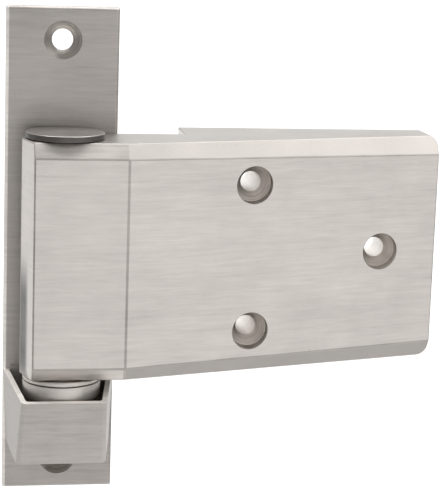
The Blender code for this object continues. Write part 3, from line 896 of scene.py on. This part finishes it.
    def dress(self, flange: bpy.types.Object) -> None:
        """Give the flange its finishes.

        Args:
            flange: the built flange.
        """
        finishes = [
            # Painted shade: the flange's brushed nickel is a darker copy of the strap's same finish.
            BrushedNickel("flange_brushed_painted_shade", (0.45, 0.42, 0.396), 0.42, Along.X, 0.7, 0.35),
            CastNickel("flange_cast", (0.36, 0.338, 0.318)),
            TurnedMetal("flange_countersink", (0.47, 0.44, 0.415), 0.34, Along.ROUND_SCREW, 1.0, 0.8),
            # Painted highlight: a near-white copy of the nickel for the pocket's rim and the plate's left
            # edge.
            BrushedNickel("flange_rim_painted_highlight", (0.98, 0.94, 0.90), 0.7, Along.X, 0.5, 0.5),
        ]
        for finish in finishes:
            flange.data.materials.append(finish.material())
        hub = [(0.0, side * (self.datum.flange[1].z - self.screw_end)) for side in (-1, 1)]
        _, bottom, _ = self.collar()
        for face in flange.data.polygons:
            spot, out = face.center, face.normal
            in_hole = any(math.hypot(spot.x - x, spot.z - z) < self.head - 0.0001 for x, z in hub)
            if in_hole and spot.y > -self.plate + 0.0001 and spot.y < -0.00001:
                face.material_index = Face.MACHINED.value
            # Painted highlight on the pocket's rim top and on the plate's left edge.
            elif spot.y < -self.plate - 0.001 and out.z > 0.15 and spot.z > bottom - 0.001:
                face.material_index = Face.EDGE_AND_PAINTED_HIGHLIGHT.value
            elif -0.95 < out.y < -0.2 and -self.plate - 0.0001 < spot.y and self.at_left_edge(spot):
                face.material_index = Face.EDGE_AND_PAINTED_HIGHLIGHT.value
            elif out.y > 0.3 or out.z < -0.6 or (spot.y < -self.plate - 0.001 and out.z > 0.9):
                face.material_index = Face.CAST.value
        Shape.hand_over(flange, "frame", "satin_nickel", "frame_flange")


@dataclass
class Cams:
    """The two cams whose ramps lift the strap as it turns."""

    datum: Datum
    bore: float = 0.0053
    gap: float = 0.0003
    ramp: float = 0.008
    base: float = 0.0028
    lip: float = 0.0019
    collar_height: float = 0.0054
    flange: float = 0.0014
    shell: float = 0.0006
    sleeve: float = 0.0097
    hub: float = 0.009576
    step: float = math.radians(1.0)
    open_step: float = math.radians(4.0)
    edge: float = 0.00035
    shoulder: float = 0.3
    foot: float = 0.6
    sides: int = 144

    def height(self, angle: float, gap: float) -> float:
        """Height of a ramp.

        Args:
            angle: the angle round the pin.
            gap: 0 for the lower cam, or the running gap for the upper.

        Returns:
            The height.
        """
        top = self.datum.lower_cam[1].z - self.lip + gap
        back = self.open_step if gap else 0.0
        turn = angle % math.pi
        end = math.pi - back - self.step
        if turn <= end:
            return top - self.ramp * turn / math.pi
        low = top - self.ramp * end / math.pi
        return low + min(1.0, (turn - end) / self.step) * (top - low)

    def angles(self, gap: float) -> list[float]:
        """Angles of a cam's sections, with the corners of its steep faces.

        Args:
            gap: 0 for the lower cam, or the running gap for the upper.

        Returns:
            The angles, in order.
        """
        back = self.open_step if gap else 0.0
        even = [2 * math.pi * index / self.sides for index in range(self.sides)]
        corners = [lobe + math.pi - back - part for lobe in (0.0, math.pi) for part in (self.step, 0.0)]
        kept = [turn for turn in even if all(abs(turn - corner) > self.step / 3 for corner in corners)]
        return sorted(kept + [corner % (2 * math.pi) for corner in corners])

    def build_lower(self) -> bpy.types.Object:
        """Build the lower cam: hub, collar and ramps inside the collar.

        Returns:
            The finished cam.
        """
        low, high = self.datum.lower_cam
        radius = (high.x - low.x) / 2
        inner = self.hub - self.shell
        bottom, edge = high.z - self.collar_height, self.edge
        shoulder, foot = self.shoulder * edge, self.foot * edge
        sections = []
        for turn in self.angles(0.0):
            ramp = self.height(turn, 0.0)
            sections.append((turn, [
                (self.bore, low.z), (self.bore, ramp), (inner, ramp), (inner, high.z - edge),
                (inner + edge, high.z), (radius - edge, high.z), (radius - shoulder, high.z - shoulder),
                (radius, high.z - edge), (radius, bottom + 2 * edge),
                (radius - foot, bottom + foot), (radius - 2 * edge, bottom),
                (self.hub, bottom), (self.hub, low.z),
            ]))
        cam = Shape.swept("lower_cam_piece", self.datum.pin, sections)
        Shape.settle(cam)
        return cam

    def build_upper(self) -> bpy.types.Object:
        """Build the upper cam: spigot, flange, and a nose with ramps.

        Returns:
            The finished cam.
        """
        low, high = self.datum.upper_cam
        radius = (high.x - low.x) / 2
        nose = self.hub - self.shell - self.gap
        bottom = self.datum.lower_cam[1].z + self.gap
        top, edge = bottom + self.flange, self.edge
        shoulder = self.shoulder * edge
        sections = []
        for turn in self.angles(self.gap):
            ramp = self.height(turn, self.gap)
            sections.append((turn, [
                (self.bore, ramp), (nose, ramp), (nose, bottom), (radius - edge, bottom),
                (radius - shoulder, bottom + shoulder), (radius, bottom + edge), (radius, top - edge),
                (radius - edge, top), (self.sleeve, top), (self.sleeve, high.z), (self.bore, high.z),
            ]))
        cam = Shape.swept("upper_cam_piece", self.datum.pin, sections)
        Shape.settle(cam)
        return cam

    def dress(self, lower: bpy.types.Object, upper: bpy.types.Object) -> None:
        """Give both cams their finish.

        Args:
            lower: the lower cam.
            upper: the upper cam.
        """
        metal = TurnedMetal("cam_turned", (0.70, 0.66, 0.625), 0.48, Along.ROUND_PIN, 0.4).material()
        for cam, body, node in ((lower, "frame", "lower_cam"), (upper, "strap", "upper_cam")):
            cam.data.materials.append(metal)
            Shape.hand_over(cam, body, "cam_metal", node)


@dataclass
class DoorStrap:
    """Door strap: knuckle, crease, wedge leaf, screw wells, and the hollow back with its ribs."""

    datum: Datum
    knuckle: float = 0.0142
    corner: float = 0.0034
    crease: float = 0.0201
    end_thickness: float = 0.0181
    pad: float = 0.04235
    wall: float = 0.004
    left: tuple[float, float] = (0.0048, 0.0039)
    right: tuple[float, float] = (0.0062, 0.0046)
    end_round: float = 0.0035
    rib: float = 0.003
    boss: float = 0.0082
    barrel: float = 0.010
    head: float = 0.0064
    hole: float = 0.0035
    sink: float = 0.0056
    cone: float = math.radians(41)
    spacing: float = 0.0505
    inset: float = 0.02165
    end: float = 0.0213
    past: float = 0.004
    soft: float = 0.00045
    bay_round: float = 0.0012
    smear_x: float = 0.0525
    boss_root: float = 0.0022
    boss_short: float = 0.0003
    lip: float = 0.0002
    thin: float = 0.6
    helpers: list[bpy.types.Object] = field(default_factory=list)

    def front(self, x: float) -> float:
        """Depth of the front face.

        Args:
            x: distance along the strap.

        Returns:
            The depth.
        """
        low, high = self.datum.strap
        far = high.y - self.end_thickness
        return low.y + (far - low.y) / (high.x - self.crease) * max(0.0, x - self.crease)

    def screws(self) -> list[tuple[float, float]]:
        """Place the three screws.

        Returns:
            Their x and z.
        """
        low, high = self.datum.strap
        middle = (low.z + high.z) / 2
        first = self.pad + self.inset
        return [(first, middle + self.spacing / 2), (first, middle - self.spacing / 2),
                (high.x - self.end, middle)]

    def shell(self) -> bpy.types.Object:
        """Build the outer shape, with rounded free corners and softened edges.

        Returns:
            The shell, with live modifiers.
        """
        low, high = self.datum.strap
        pin = self.datum.pin
        back = [(high.x, high.y), (self.pad, high.y), (self.pad, pin.y + self.knuckle)]
        back += arc((pin.x, pin.y), self.knuckle, 90, 180, 32)
        front = [(-self.knuckle + self.corner, low.y, self.left), (self.crease, low.y, self.left),
                 (high.x, high.y - self.end_thickness, self.right)]
        rings = []
        for level in range(4):
            at_edge, lower = level in (0, 3), level < 2
            end, sign = (low.z, 1) if lower else (high.z, -1)
            ring = []
            for x, y in back:
                tall = 0.0 if at_edge else self.right[0] if x > self.pad else self.left[0]
                ring.append(Vector((x, y, end + sign * tall)))
            for x, y, (tall, deep) in front:
                back_by, in_by = (deep, 0.0) if at_edge else (0.0, sign * tall)
                ring.append(Vector((x, y + back_by, end + in_by)))
            rings.append(ring)
        shell = Shape.from_rings("strap", rings)
        for name, z, sign in (("corner_top", high.z, -1), ("corner_bottom", low.z, 1)):
            centre = (high.x - self.end_round, z + sign * self.end_round)
            far = (centre[0] + self.end_round + self.past, centre[1] - sign * (self.end_round + self.past))
            outline = [(centre[0], far[1]), far, (far[0], centre[1])]
            outline += [(x, centre[1] - sign * (y - centre[1]))
                        for x, y in arc(centre, self.end_round, 0, 90, 16)]
            cutter = Shape.from_rings(name, [[Vector((x, y, z_)) for x, z_ in outline]
                                             for y in (low.y, high.y + self.past)])
            Shape.cut(shell, cutter)
            self.helpers.append(cutter)
        Shape.soften(shell, self.soft, 9, 4)
        return shell

    def ribbing(self, strap: bpy.types.Object) -> None:
        """Cut the hollows between the ribs and raise the bosses.

        Args:
            strap: the strap that they are made in.
        """
        low, high = self.datum.strap
        far = high.y - self.end_thickness
        wall = self.wall * math.hypot(1, (far - low.y) / (high.x - self.crease))
        rib_x, middle, half = self.screws()[0][0], (low.z + high.z) / 2, self.rib / 2
        for column, (start, end) in enumerate(((self.pad + self.wall, rib_x - half),
                                               (rib_x + half, high.x - self.wall))):
            rows = ((low.z + self.wall, middle - half), (middle + half, high.z - self.wall))
            for row, (foot, head) in enumerate(rows):
                outline = [(start, self.front(start) + wall), (end, self.front(end) + wall),
                           (end, high.y + self.past), (start, high.y + self.past)]
                bay = Shape.block(f"bay_{column}_{row}", outline, foot, head)
                Shape.soften(bay, self.bay_round, 30)
                Shape.cut(strap, bay)
                self.helpers.append(bay)
        bosses = Bosses(self.boss, high.y - self.boss_short).build(
            [Vector((x, self.front(x) + self.wall / 2 + self.boss_root, z)) for x, z in self.screws()])
        Shape.cut(strap, bosses, "UNION")
        self.helpers.append(bosses)

    def build(self) -> bpy.types.Object:
        """Build the strap.

        Returns:
            The finished strap.
        """
        low, high = self.datum.strap
        strap = self.shell()
        self.ribbing(strap)
        depth = (self.head - self.hole) / math.tan(self.cone)
        for index, (x, z) in enumerate(self.screws()):
            face = self.front(x)
            lip = self.head + self.lip
            stations = [
                (lambda at: self.front(at) - 2 * self.lip, lip + self.lip),
                (lambda at: self.front(at) + self.lip, lip - self.lip),
                (lambda at, y=face + self.sink: y, self.head),
                (lambda at, y=face + self.sink + depth: y, self.hole),
                (lambda at: high.y + self.past, self.hole),
            ]
            well = Shape.well(f"well_{index}", (x, z), stations)
            Shape.cut(strap, well)
            self.helpers.append(well)
        barrel = Shape.from_rings("barrel", [circle(self.datum.pin, self.barrel, z, HOLE_SIDES)
                                             for z in (low.z - self.past, high.z + self.past)])
        Shape.cut(strap, barrel)
        self.helpers.append(barrel)
        Shape.settle(strap, self.helpers)
        return strap

    def dress(self, strap: bpy.types.Object) -> None:
        """Give the strap its finishes.

        Args:
            strap: the built strap.
        """
        finishes = [
            # The strap's brushed nickel carries painted shade on the knuckle as well as a real smear.
            BrushedNickel("strap_brushed_and_painted_shade", (0.66, 0.62, 0.587), 0.35, stains_and_shade=self.stains_and_shade()),
            CastNickel("strap_cast", (0.38, 0.357, 0.336)),
            TurnedMetal("strap_countersink", (0.78, 0.74, 0.70), 0.36, Along.ROUND_SCREW, 0.9, 0.8),
            BrushedNickel("strap_chamfer", (0.70, 0.66, 0.625), 0.58),
            # Painted shade: a darker copy of the nickel for the knuckle's top chamfer and the thin rounded
            # edge strips.
            BrushedNickel("strap_knuckle_chamfer_painted_shade", (0.47, 0.44, 0.415), 0.55, streaks=0.7, clouds=0.6),
        ]
        for finish in finishes:
            strap.data.materials.append(finish.material())
        high = self.datum.strap[1]
        for face in strap.data.polygons:
            spot, out = face.center, face.normal
            in_well = any(math.hypot(spot.x - x, spot.z - z) < self.head + 0.0001 for x, z in self.screws())
            if in_well and spot.y > self.front(spot.x) + 0.0003 and spot.y < high.y - 0.0004:
                face.material_index = Face.MACHINED.value
            elif abs(out.z) > 0.9 or out.y > 0.1 or self.inside(spot):
                face.material_index = Face.CAST.value
            # Painted shade on the knuckle's top chamfer and on the thin rounded edge strips.
            elif (out.z > 0.35 and spot.x < self.crease) or self.is_edge(strap.data, face):
                face.material_index = Face.EDGE_PAINTED_SHADE.value
            elif abs(out.z) > 0.35:
                face.material_index = Face.EDGE_AND_PAINTED_HIGHLIGHT.value
        Shape.hand_over(strap, "strap", "satin_nickel", "door_strap")

    def is_edge(self, mesh: bpy.types.Mesh, face: bpy.types.MeshPolygon) -> bool:
        """Whether a face is one of the thin strips that round an edge.

        Args:
            mesh: the strap's mesh.
            face: the face.

        Returns:
            True if its mean width is under a share of the rounding's.
        """
        ends = [mesh.vertices[index].co for index in face.vertices]
        longest = max((first - second).length for first, second in zip(ends, ends[1:] + ends[:1]))
        return face.area < self.thin * self.soft * longest

    def stains_and_shade(self) -> tuple[StainAndShade, ...]:
        """Painted shade: a dark patch low on the knuckle's side and a dark line down its front corner; and a
        faint real smear on the leaf.

        Returns:
            The two painted shade patches and the smear.
        """
        low, high = self.datum.strap
        corner_x = self.corner - self.knuckle
        # Painted shade: near-black patch low on the knuckle's left side.
        side = StainAndShade(centre=(-self.knuckle, self.datum.pin.y - 0.0025, low.z + 0.017),
                     half=(0.004, 0.0052, 0.0185), soft=(0.001, 0.0022, 0.009), strength=0.95)
        # Painted shade: dark line down the knuckle's front corner.
        line = StainAndShade(centre=(corner_x + 0.0002, low.y, high.z - 0.025),
                     half=(0.0002, 0.002, 0.023), soft=(0.0002, 0.0005, 0.012), strength=0.45)
        smear = StainAndShade(centre=(self.smear_x, self.front(self.smear_x), high.z - 0.0145),
                      half=(0.003, 0.004, 0.005), soft=(0.005, 0.002, 0.006), strength=0.10)
        return side, line, smear

    def inside(self, spot: Vector) -> bool:
        """Whether a point is in the hollow or the barrel, behind the outer skin.

        Args:
            spot: the point.

        Returns:
            True if it is.
        """
        low, high = self.datum.strap
        in_leaf = self.pad + 0.001 < spot.x < high.x - 0.001 and low.z + 0.001 < spot.z < high.z - 0.001
        in_barrel = math.hypot(spot.x - self.datum.pin.x, spot.y - self.datum.pin.y) < self.barrel + 0.0002
        return in_barrel or (in_leaf and spot.y > self.front(spot.x) + self.wall / 2)


class Tree:
    """A Geometry Nodes tree with named inputs."""

    def __init__(self, name: str, inputs: Sequence[tuple[str, str]]) -> None:
        """Start a tree.

        Args:
            name: the tree's name.
            inputs: name and socket type of each input, after the geometry.
        """
        self.group = bpy.data.node_groups.new(name, "GeometryNodeTree")
        self.group.is_modifier = True
        face = self.group.interface
        face.new_socket("Geometry", in_out="INPUT", socket_type="NodeSocketGeometry")
        for label, kind in inputs:
            face.new_socket(label, in_out="INPUT", socket_type=kind)
        face.new_socket("Geometry", in_out="OUTPUT", socket_type="NodeSocketGeometry")
        self.start = self.group.nodes.new("NodeGroupInput")
        self.end = self.group.nodes.new("NodeGroupOutput")

    def add(self, kind: str, settings: Settings, inputs: Inputs) -> bpy.types.Node:
        """Add a node, as add_node does."""
        return add_node(self.group, kind, settings, inputs)

    def finish(self, shape: bpy.types.NodeSocket, material: Optional[bpy.types.Material]) -> None:
        """End the tree in Realize Instances and Set Material.

        Args:
            shape: the geometry.
            material: what it is made of.
        """
        real = self.add("GeometryNodeRealizeInstances", {}, {"Geometry": shape})
        dressed = self.add("GeometryNodeSetMaterial", {}, {"Geometry": real.outputs["Geometry"]})
        dressed.inputs["Material"].default_value = material
        self.group.links.new(dressed.outputs["Geometry"], self.end.inputs["Geometry"])

    def apply(self, piece: bpy.types.Object, values: dict[str, object]) -> None:
        """Run the tree on an object and keep the result as its mesh.

        Args:
            piece: the object.
            values: the tree's inputs, by name.
        """
        step = piece.modifiers.new(self.group.name, "NODES")
        step.node_group = self.group
        for item in self.group.interface.items_tree:
            if item.item_type == "SOCKET" and item.in_out == "INPUT" and item.name in values:
                step[item.identifier] = values[item.name]
        Shape.bake(piece)


@dataclass
class Bosses:
    """Round bosses behind the strap's screws, one cylinder repeated on each screw."""

    radius: float
    under_pad: float
    sides: int = 96

    def build(self, roots: Sequence[Vector]) -> bpy.types.Object:
        """Build the bosses.

        Args:
            roots: where each starts, inside the leaf's front wall.

        Returns:
            One object with every boss.
        """
        tree = Tree("boss_tree", [("Radius", "NodeSocketFloat"), ("Under Pad", "NodeSocketFloat"),
                                  ("Sides", "NodeSocketInt")])
        given = tree.start.outputs
        spot = tree.add("GeometryNodeInputPosition", {}, {})
        parts = tree.add("ShaderNodeSeparateXYZ", {}, {"Vector": spot.outputs["Position"]})
        length = tree.add("ShaderNodeMath", {"operation": "SUBTRACT"},
                          {0: given["Under Pad"], 1: parts.outputs["Y"]})
        unit = tree.add("GeometryNodeMeshCylinder", {},
                        {"Vertices": given["Sides"], "Radius": given["Radius"], "Depth": 1.0})
        lifted = tree.add("GeometryNodeTransform", {}, {"Geometry": unit.outputs["Mesh"],
                                                        "Translation": (0.0, 0.0, 0.5)})
        laid = tree.add("GeometryNodeTransform", {}, {"Geometry": lifted.outputs["Geometry"],
                                                      "Rotation": (-math.pi / 2, 0.0, 0.0)})
        size = tree.add("ShaderNodeCombineXYZ", {}, {"X": 1.0, "Y": length.outputs["Value"], "Z": 1.0})
        placed = tree.add("GeometryNodeInstanceOnPoints", {}, {"Points": given["Geometry"],
                                                               "Instance": laid.outputs["Geometry"],
                                                               "Scale": size.outputs["Vector"]})
        tree.finish(placed.outputs["Instances"], None)
        mesh = bpy.data.meshes.new("bosses")
        mesh.from_pydata([tuple(root) for root in roots], [], [])
        bosses = put("bosses", mesh)
        tree.apply(bosses, {"Radius": self.radius, "Under Pad": self.under_pad, "Sides": self.sides})
        return bosses


@dataclass
class TopCap:
    """Cap over the knuckle, with a spigot in the barrel."""

    datum: Datum
    flange: float = 0.002
    sleeve: float = 0.0097
    groove: float = 0.0016
    seal: float = 0.0008
    edge: float = 0.0005
    hollow: float = 0.0069
    roof: float = 0.0015
    groove_gap: float = 0.0003
    break_edge: float = 0.0002
    sides: int = 128

    def build(self) -> bpy.types.Object:
        """Build the cap.

        Returns:
            The finished cap.
        """
        low, high = self.datum.cap
        radius = (high.x - low.x) / 2
        under = high.z - self.flange
        middle = (under + low.z) / 2
        groove = self.sleeve - self.groove + self.groove_gap
        ring = arc((radius - self.edge, high.z - self.edge), self.edge, 0, 90, 5)
        outline = [
            (self.hollow, under - self.roof), (self.hollow, low.z), (self.sleeve, low.z),
            (self.sleeve, middle - self.seal),
            (groove, middle - self.seal), (groove, middle + self.seal), (self.sleeve, middle + self.seal),
            (self.sleeve, under), (radius - self.break_edge, under), (radius, under + self.break_edge),
            *ring,
        ]
        profile = [(0.0, under - self.roof), *outline, (0.0, high.z)]
        cap = Shape.turned("cap", self.datum.pin, profile, self.sides)
        Shape.settle(cap)
        return cap

    def dress(self, cap: bpy.types.Object) -> None:
        """Give the cap its finish, with painted shade on its side.

        Args:
            cap: the built cap.
        """
        # The cap's side gets a near-black turned metal: painted shade.
        for finish in (BrushedNickel("cap_brushed", (0.42, 0.392, 0.369), 0.42, Along.X, 0.5),
                       TurnedMetal("cap_side_painted_shade", (0.13, 0.12, 0.112), 0.40)):
            cap.data.materials.append(finish.material())
        painted_shade_slot = len(cap.data.materials) - 1
        for face in cap.data.polygons:
            if abs(face.normal.z) < 0.6:
                face.material_index = painted_shade_slot
        Shape.hand_over(cap, "strap", "satin_nickel", "top_cap")


@dataclass
class TorsionSpring:
    """Torsion spring round the pin, a coil whose ends turn along the pin."""

    datum: Datum
    wire: float = 0.00115
    turns: int = 9
    tang: float = 0.0032
    mean: float = 0.0075
    steps: int = 40
    wire_sides: int = 12

    def build(self, material: bpy.types.Material) -> bpy.types.Object:
        """Build the spring.

        Args:
            material: what it is made of.

        Returns:
            The finished spring.
        """
        low, high = self.datum.spring
        reach = self.tang + self.wire
        start, end = low.z + reach, high.z - reach
        tree = Tree("coil_tree", [("Mean Radius", "NodeSocketFloat"), ("Height", "NodeSocketFloat"),
                                  ("Turns", "NodeSocketFloat"), ("Steps", "NodeSocketInt"),
                                  ("Wire Radius", "NodeSocketFloat"), ("Tang", "NodeSocketFloat")])
        given = tree.start.outputs
        coil = tree.add("GeometryNodeCurveSpiral", {}, {
            "Resolution": given["Steps"], "Rotations": given["Turns"], "Start Radius": given["Mean Radius"],
            "End Radius": given["Mean Radius"], "Height": given["Height"]})
        resampled = tree.add("GeometryNodeCurveToPoints", {"mode": "EVALUATED"},
                             {"Curve": coil.outputs["Curve"]})
        points = tree.add("GeometryNodePointsToCurves", {}, {"Points": resampled.outputs["Points"]})
        wire = tree.add("GeometryNodeCurvePrimitiveCircle", {},
                        {"Resolution": self.wire_sides, "Radius": given["Wire Radius"]})
        body = tree.add("GeometryNodeCurveToMesh", {}, {
            "Curve": points.outputs["Curves"], "Profile Curve": wire.outputs["Curve"], "Fill Caps": True})
        straight = tree.add("GeometryNodeMeshCylinder", {}, {
            "Vertices": self.wire_sides, "Radius": given["Wire Radius"], "Depth": given["Tang"]})
        half = tree.add("ShaderNodeMath", {"operation": "MULTIPLY"}, {0: given["Tang"], 1: 0.5})
        below = tree.add("ShaderNodeMath", {"operation": "MULTIPLY"}, {0: half.outputs["Value"], 1: -1.0})
        above = tree.add("ShaderNodeMath", {"operation": "ADD"},
                         {0: half.outputs["Value"], 1: given["Height"]})
        ends = []
        for offset in (below, above):
            lift = tree.add("ShaderNodeCombineXYZ", {},
                            {"X": given["Mean Radius"], "Z": offset.outputs["Value"]})
            ends.append(tree.add("GeometryNodeTransform", {}, {"Geometry": straight.outputs["Mesh"],
                                                               "Translation": lift.outputs["Vector"]}))
        joined = tree.add("GeometryNodeJoinGeometry", {}, {})
        for part in (body.outputs["Mesh"], ends[0].outputs["Geometry"], ends[1].outputs["Geometry"]):
            tree.group.links.new(part, joined.inputs["Geometry"])
        smooth = tree.add("GeometryNodeSetShadeSmooth", {}, {"Geometry": joined.outputs["Geometry"]})
        tree.finish(smooth.outputs["Geometry"], material)
        spring = put("spring", bpy.data.meshes.new("spring"))
        tree.apply(spring, {"Mean Radius": self.mean, "Height": end - start, "Turns": float(self.turns),
                            "Steps": self.steps, "Wire Radius": self.wire, "Tang": reach})
        pin = self.datum.pin
        place = Matrix.Translation(Vector((pin.x, pin.y, start)))
        spring.data.transform(place @ Matrix.Rotation(-math.pi / 2, 4, "Z"))
        return spring


@dataclass
class PinStack:
    """What is on the pin inside the barrel: the CAD's own pieces with their finishes, and the spring."""

    datum: Datum
    frame: dict

    def dress(self) -> None:
        """Give each piece its finish."""
        steel = TurnedMetal("ground_steel", (0.62, 0.62, 0.63), 0.26, Along.ROUND_PIN, 0.10).material()
        bronze = TurnedMetal("bearing_bronze", (0.52, 0.34, 0.16), 0.40, Along.ROUND_PIN, 0.3).material()
        rubber = SealRubber("seal_rubber").material()
        by_slot = {"bright_steel": steel, "bearing_bronze": bronze, "seal_rubber": rubber}
        for part in self.frame["record"]["subparts"]:
            material = by_slot.get(part["material_slot"])
            if material is not None and part["node"] != "torsion_spring":
                for holder in self.frame["nodes"][part["node"]].material_slots:
                    holder.material = material
                LOG.info("%s: dressed", part["node"])
        spring = TorsionSpring(self.datum).build(steel)
        Shape.hand_over(spring, "pin_carriage", "bright_steel", "torsion_spring")


# ---------------------------------------------------------------------------------------------
# Studio


@dataclass
class Studio:
    """Pale floor, soft light and the camera."""

    floor_z: float = -0.90
    half_width: float = 12.0
    near_end: float = -10.0
    sweep_start: float = 1.2
    sweep: float = 0.8
    wall_top: float = 4.0
    focal: float = 130.2
    azimuth: float = math.radians(9.64)
    elevation: float = math.radians(10.93)
    roll: float = math.radians(1.903)
    camera_at: Point = (-0.045, -0.600, 0.1197)

    def floor(self) -> None:
        """Lay the pale floor, swept up behind."""
        path = [(self.near_end, self.floor_z), (self.sweep_start, self.floor_z)]
        bend = arc((self.sweep_start, self.floor_z + self.sweep), self.sweep, -90, 0, 16)
        path += bend[1:]
        path.append((self.sweep_start + self.sweep, self.wall_top))
        made = bmesh.new()
        rings = [[made.verts.new((x, y, z)) for x in (-self.half_width, self.half_width)] for y, z in path]
        for first, second in zip(rings, rings[1:]):
            made.faces.new((first[0], first[1], second[1], second[0]))
        mesh = bpy.data.meshes.new("floor")
        made.to_mesh(mesh)
        made.free()
        mesh.shade_smooth()
        floor = put("floor", mesh)
        graph = Graph("floor_paper")
        mesh.materials.append(graph.surface({"Base Color": (0.93, 0.93, 0.93, 1.0), "Roughness": 0.9}, {}))

    @staticmethod
    def lamp(name: str, spot: Point, size: tuple[float, float], power: float,
             aim: Point = (0.05, -0.02, 0.0)) -> None:
        """Hang one soft lamp.

        Args:
            name: its name.
            spot: where it is.
            size: its width and height.
            power: its power in watts.
            aim: what it points at.
        """
        light = bpy.data.lights.new(name, "AREA")
        light.shape = "RECTANGLE"
        light.size, light.size_y = size
        light.energy = power
        lamp = put(name, light)
        lamp.location = spot
        lamp.rotation_euler = (Vector(aim) - Vector(spot)).to_track_quat("-Z", "Y").to_euler()

    def lights(self) -> None:
        """Light the room evenly, brighter from above."""
        bpy.context.scene.view_settings.view_transform = "Standard"
        world = bpy.data.worlds.new("studio")
        bpy.context.scene.world = world
        world.use_nodes = True
        tree = world.node_tree
        tree.nodes["Background"].inputs["Color"].default_value = (1.0, 1.0, 1.0, 1.0)
        tree.nodes["Background"].inputs["Strength"].default_value = 0.55
        self.lamp("front", (0.7, -1.7, -0.28), (3.0, 0.9), 4.5)
        self.lamp("top", (1.25, -0.5, 1.15), (1.7, 1.4), 17.0)
        self.lamp("backdrop", (0.0, 0.3, 1.3), (2.0, 0.6), 34.0, (0.0, 2.0, -0.2))

    def camera(self) -> None:
        """Place the camera a little to the left and above, looking slightly down."""
        level = math.cos(self.elevation)
        ahead = Vector((math.sin(self.azimuth) * level, math.cos(self.azimuth) * level,
                        -math.sin(self.elevation)))
        right = Vector((math.cos(self.azimuth), -math.sin(self.azimuth), 0.0))
        up = right.cross(ahead)
        turned_right = right * math.cos(self.roll) + up * math.sin(self.roll)
        turned_up = -right * math.sin(self.roll) + up * math.cos(self.roll)
        data = bpy.data.cameras.new("camera")
        data.lens = self.focal
        data.sensor_width = 36.0
        data.clip_end = 20.0
        camera = put("camera", data)
        basis = Matrix((turned_right, turned_up, -ahead)).transposed()
        camera.matrix_world = Matrix.Translation(self.camera_at) @ basis.to_4x4()
        bpy.context.scene.camera = camera


def main() -> None:
    """Build and dress the hinge, light it, and report its pieces."""
    logging.basicConfig(level=logging.INFO, format="%(message)s")
    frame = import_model()
    datum = Datum.read(frame)
    studio = Studio()
    studio.camera()
    studio.floor()
    studio.lights()
    flange = FrameFlange(datum)
    flange.dress(flange.build())
    cams = Cams(datum)
    cams.dress(cams.build_lower(), cams.build_upper())
    strap = DoorStrap(datum)
    strap.dress(strap.build())
    cap = TopCap(datum)
    cap.dress(cap.build())
    PinStack(datum, frame).dress()


if __name__ == "__main__":
    main()
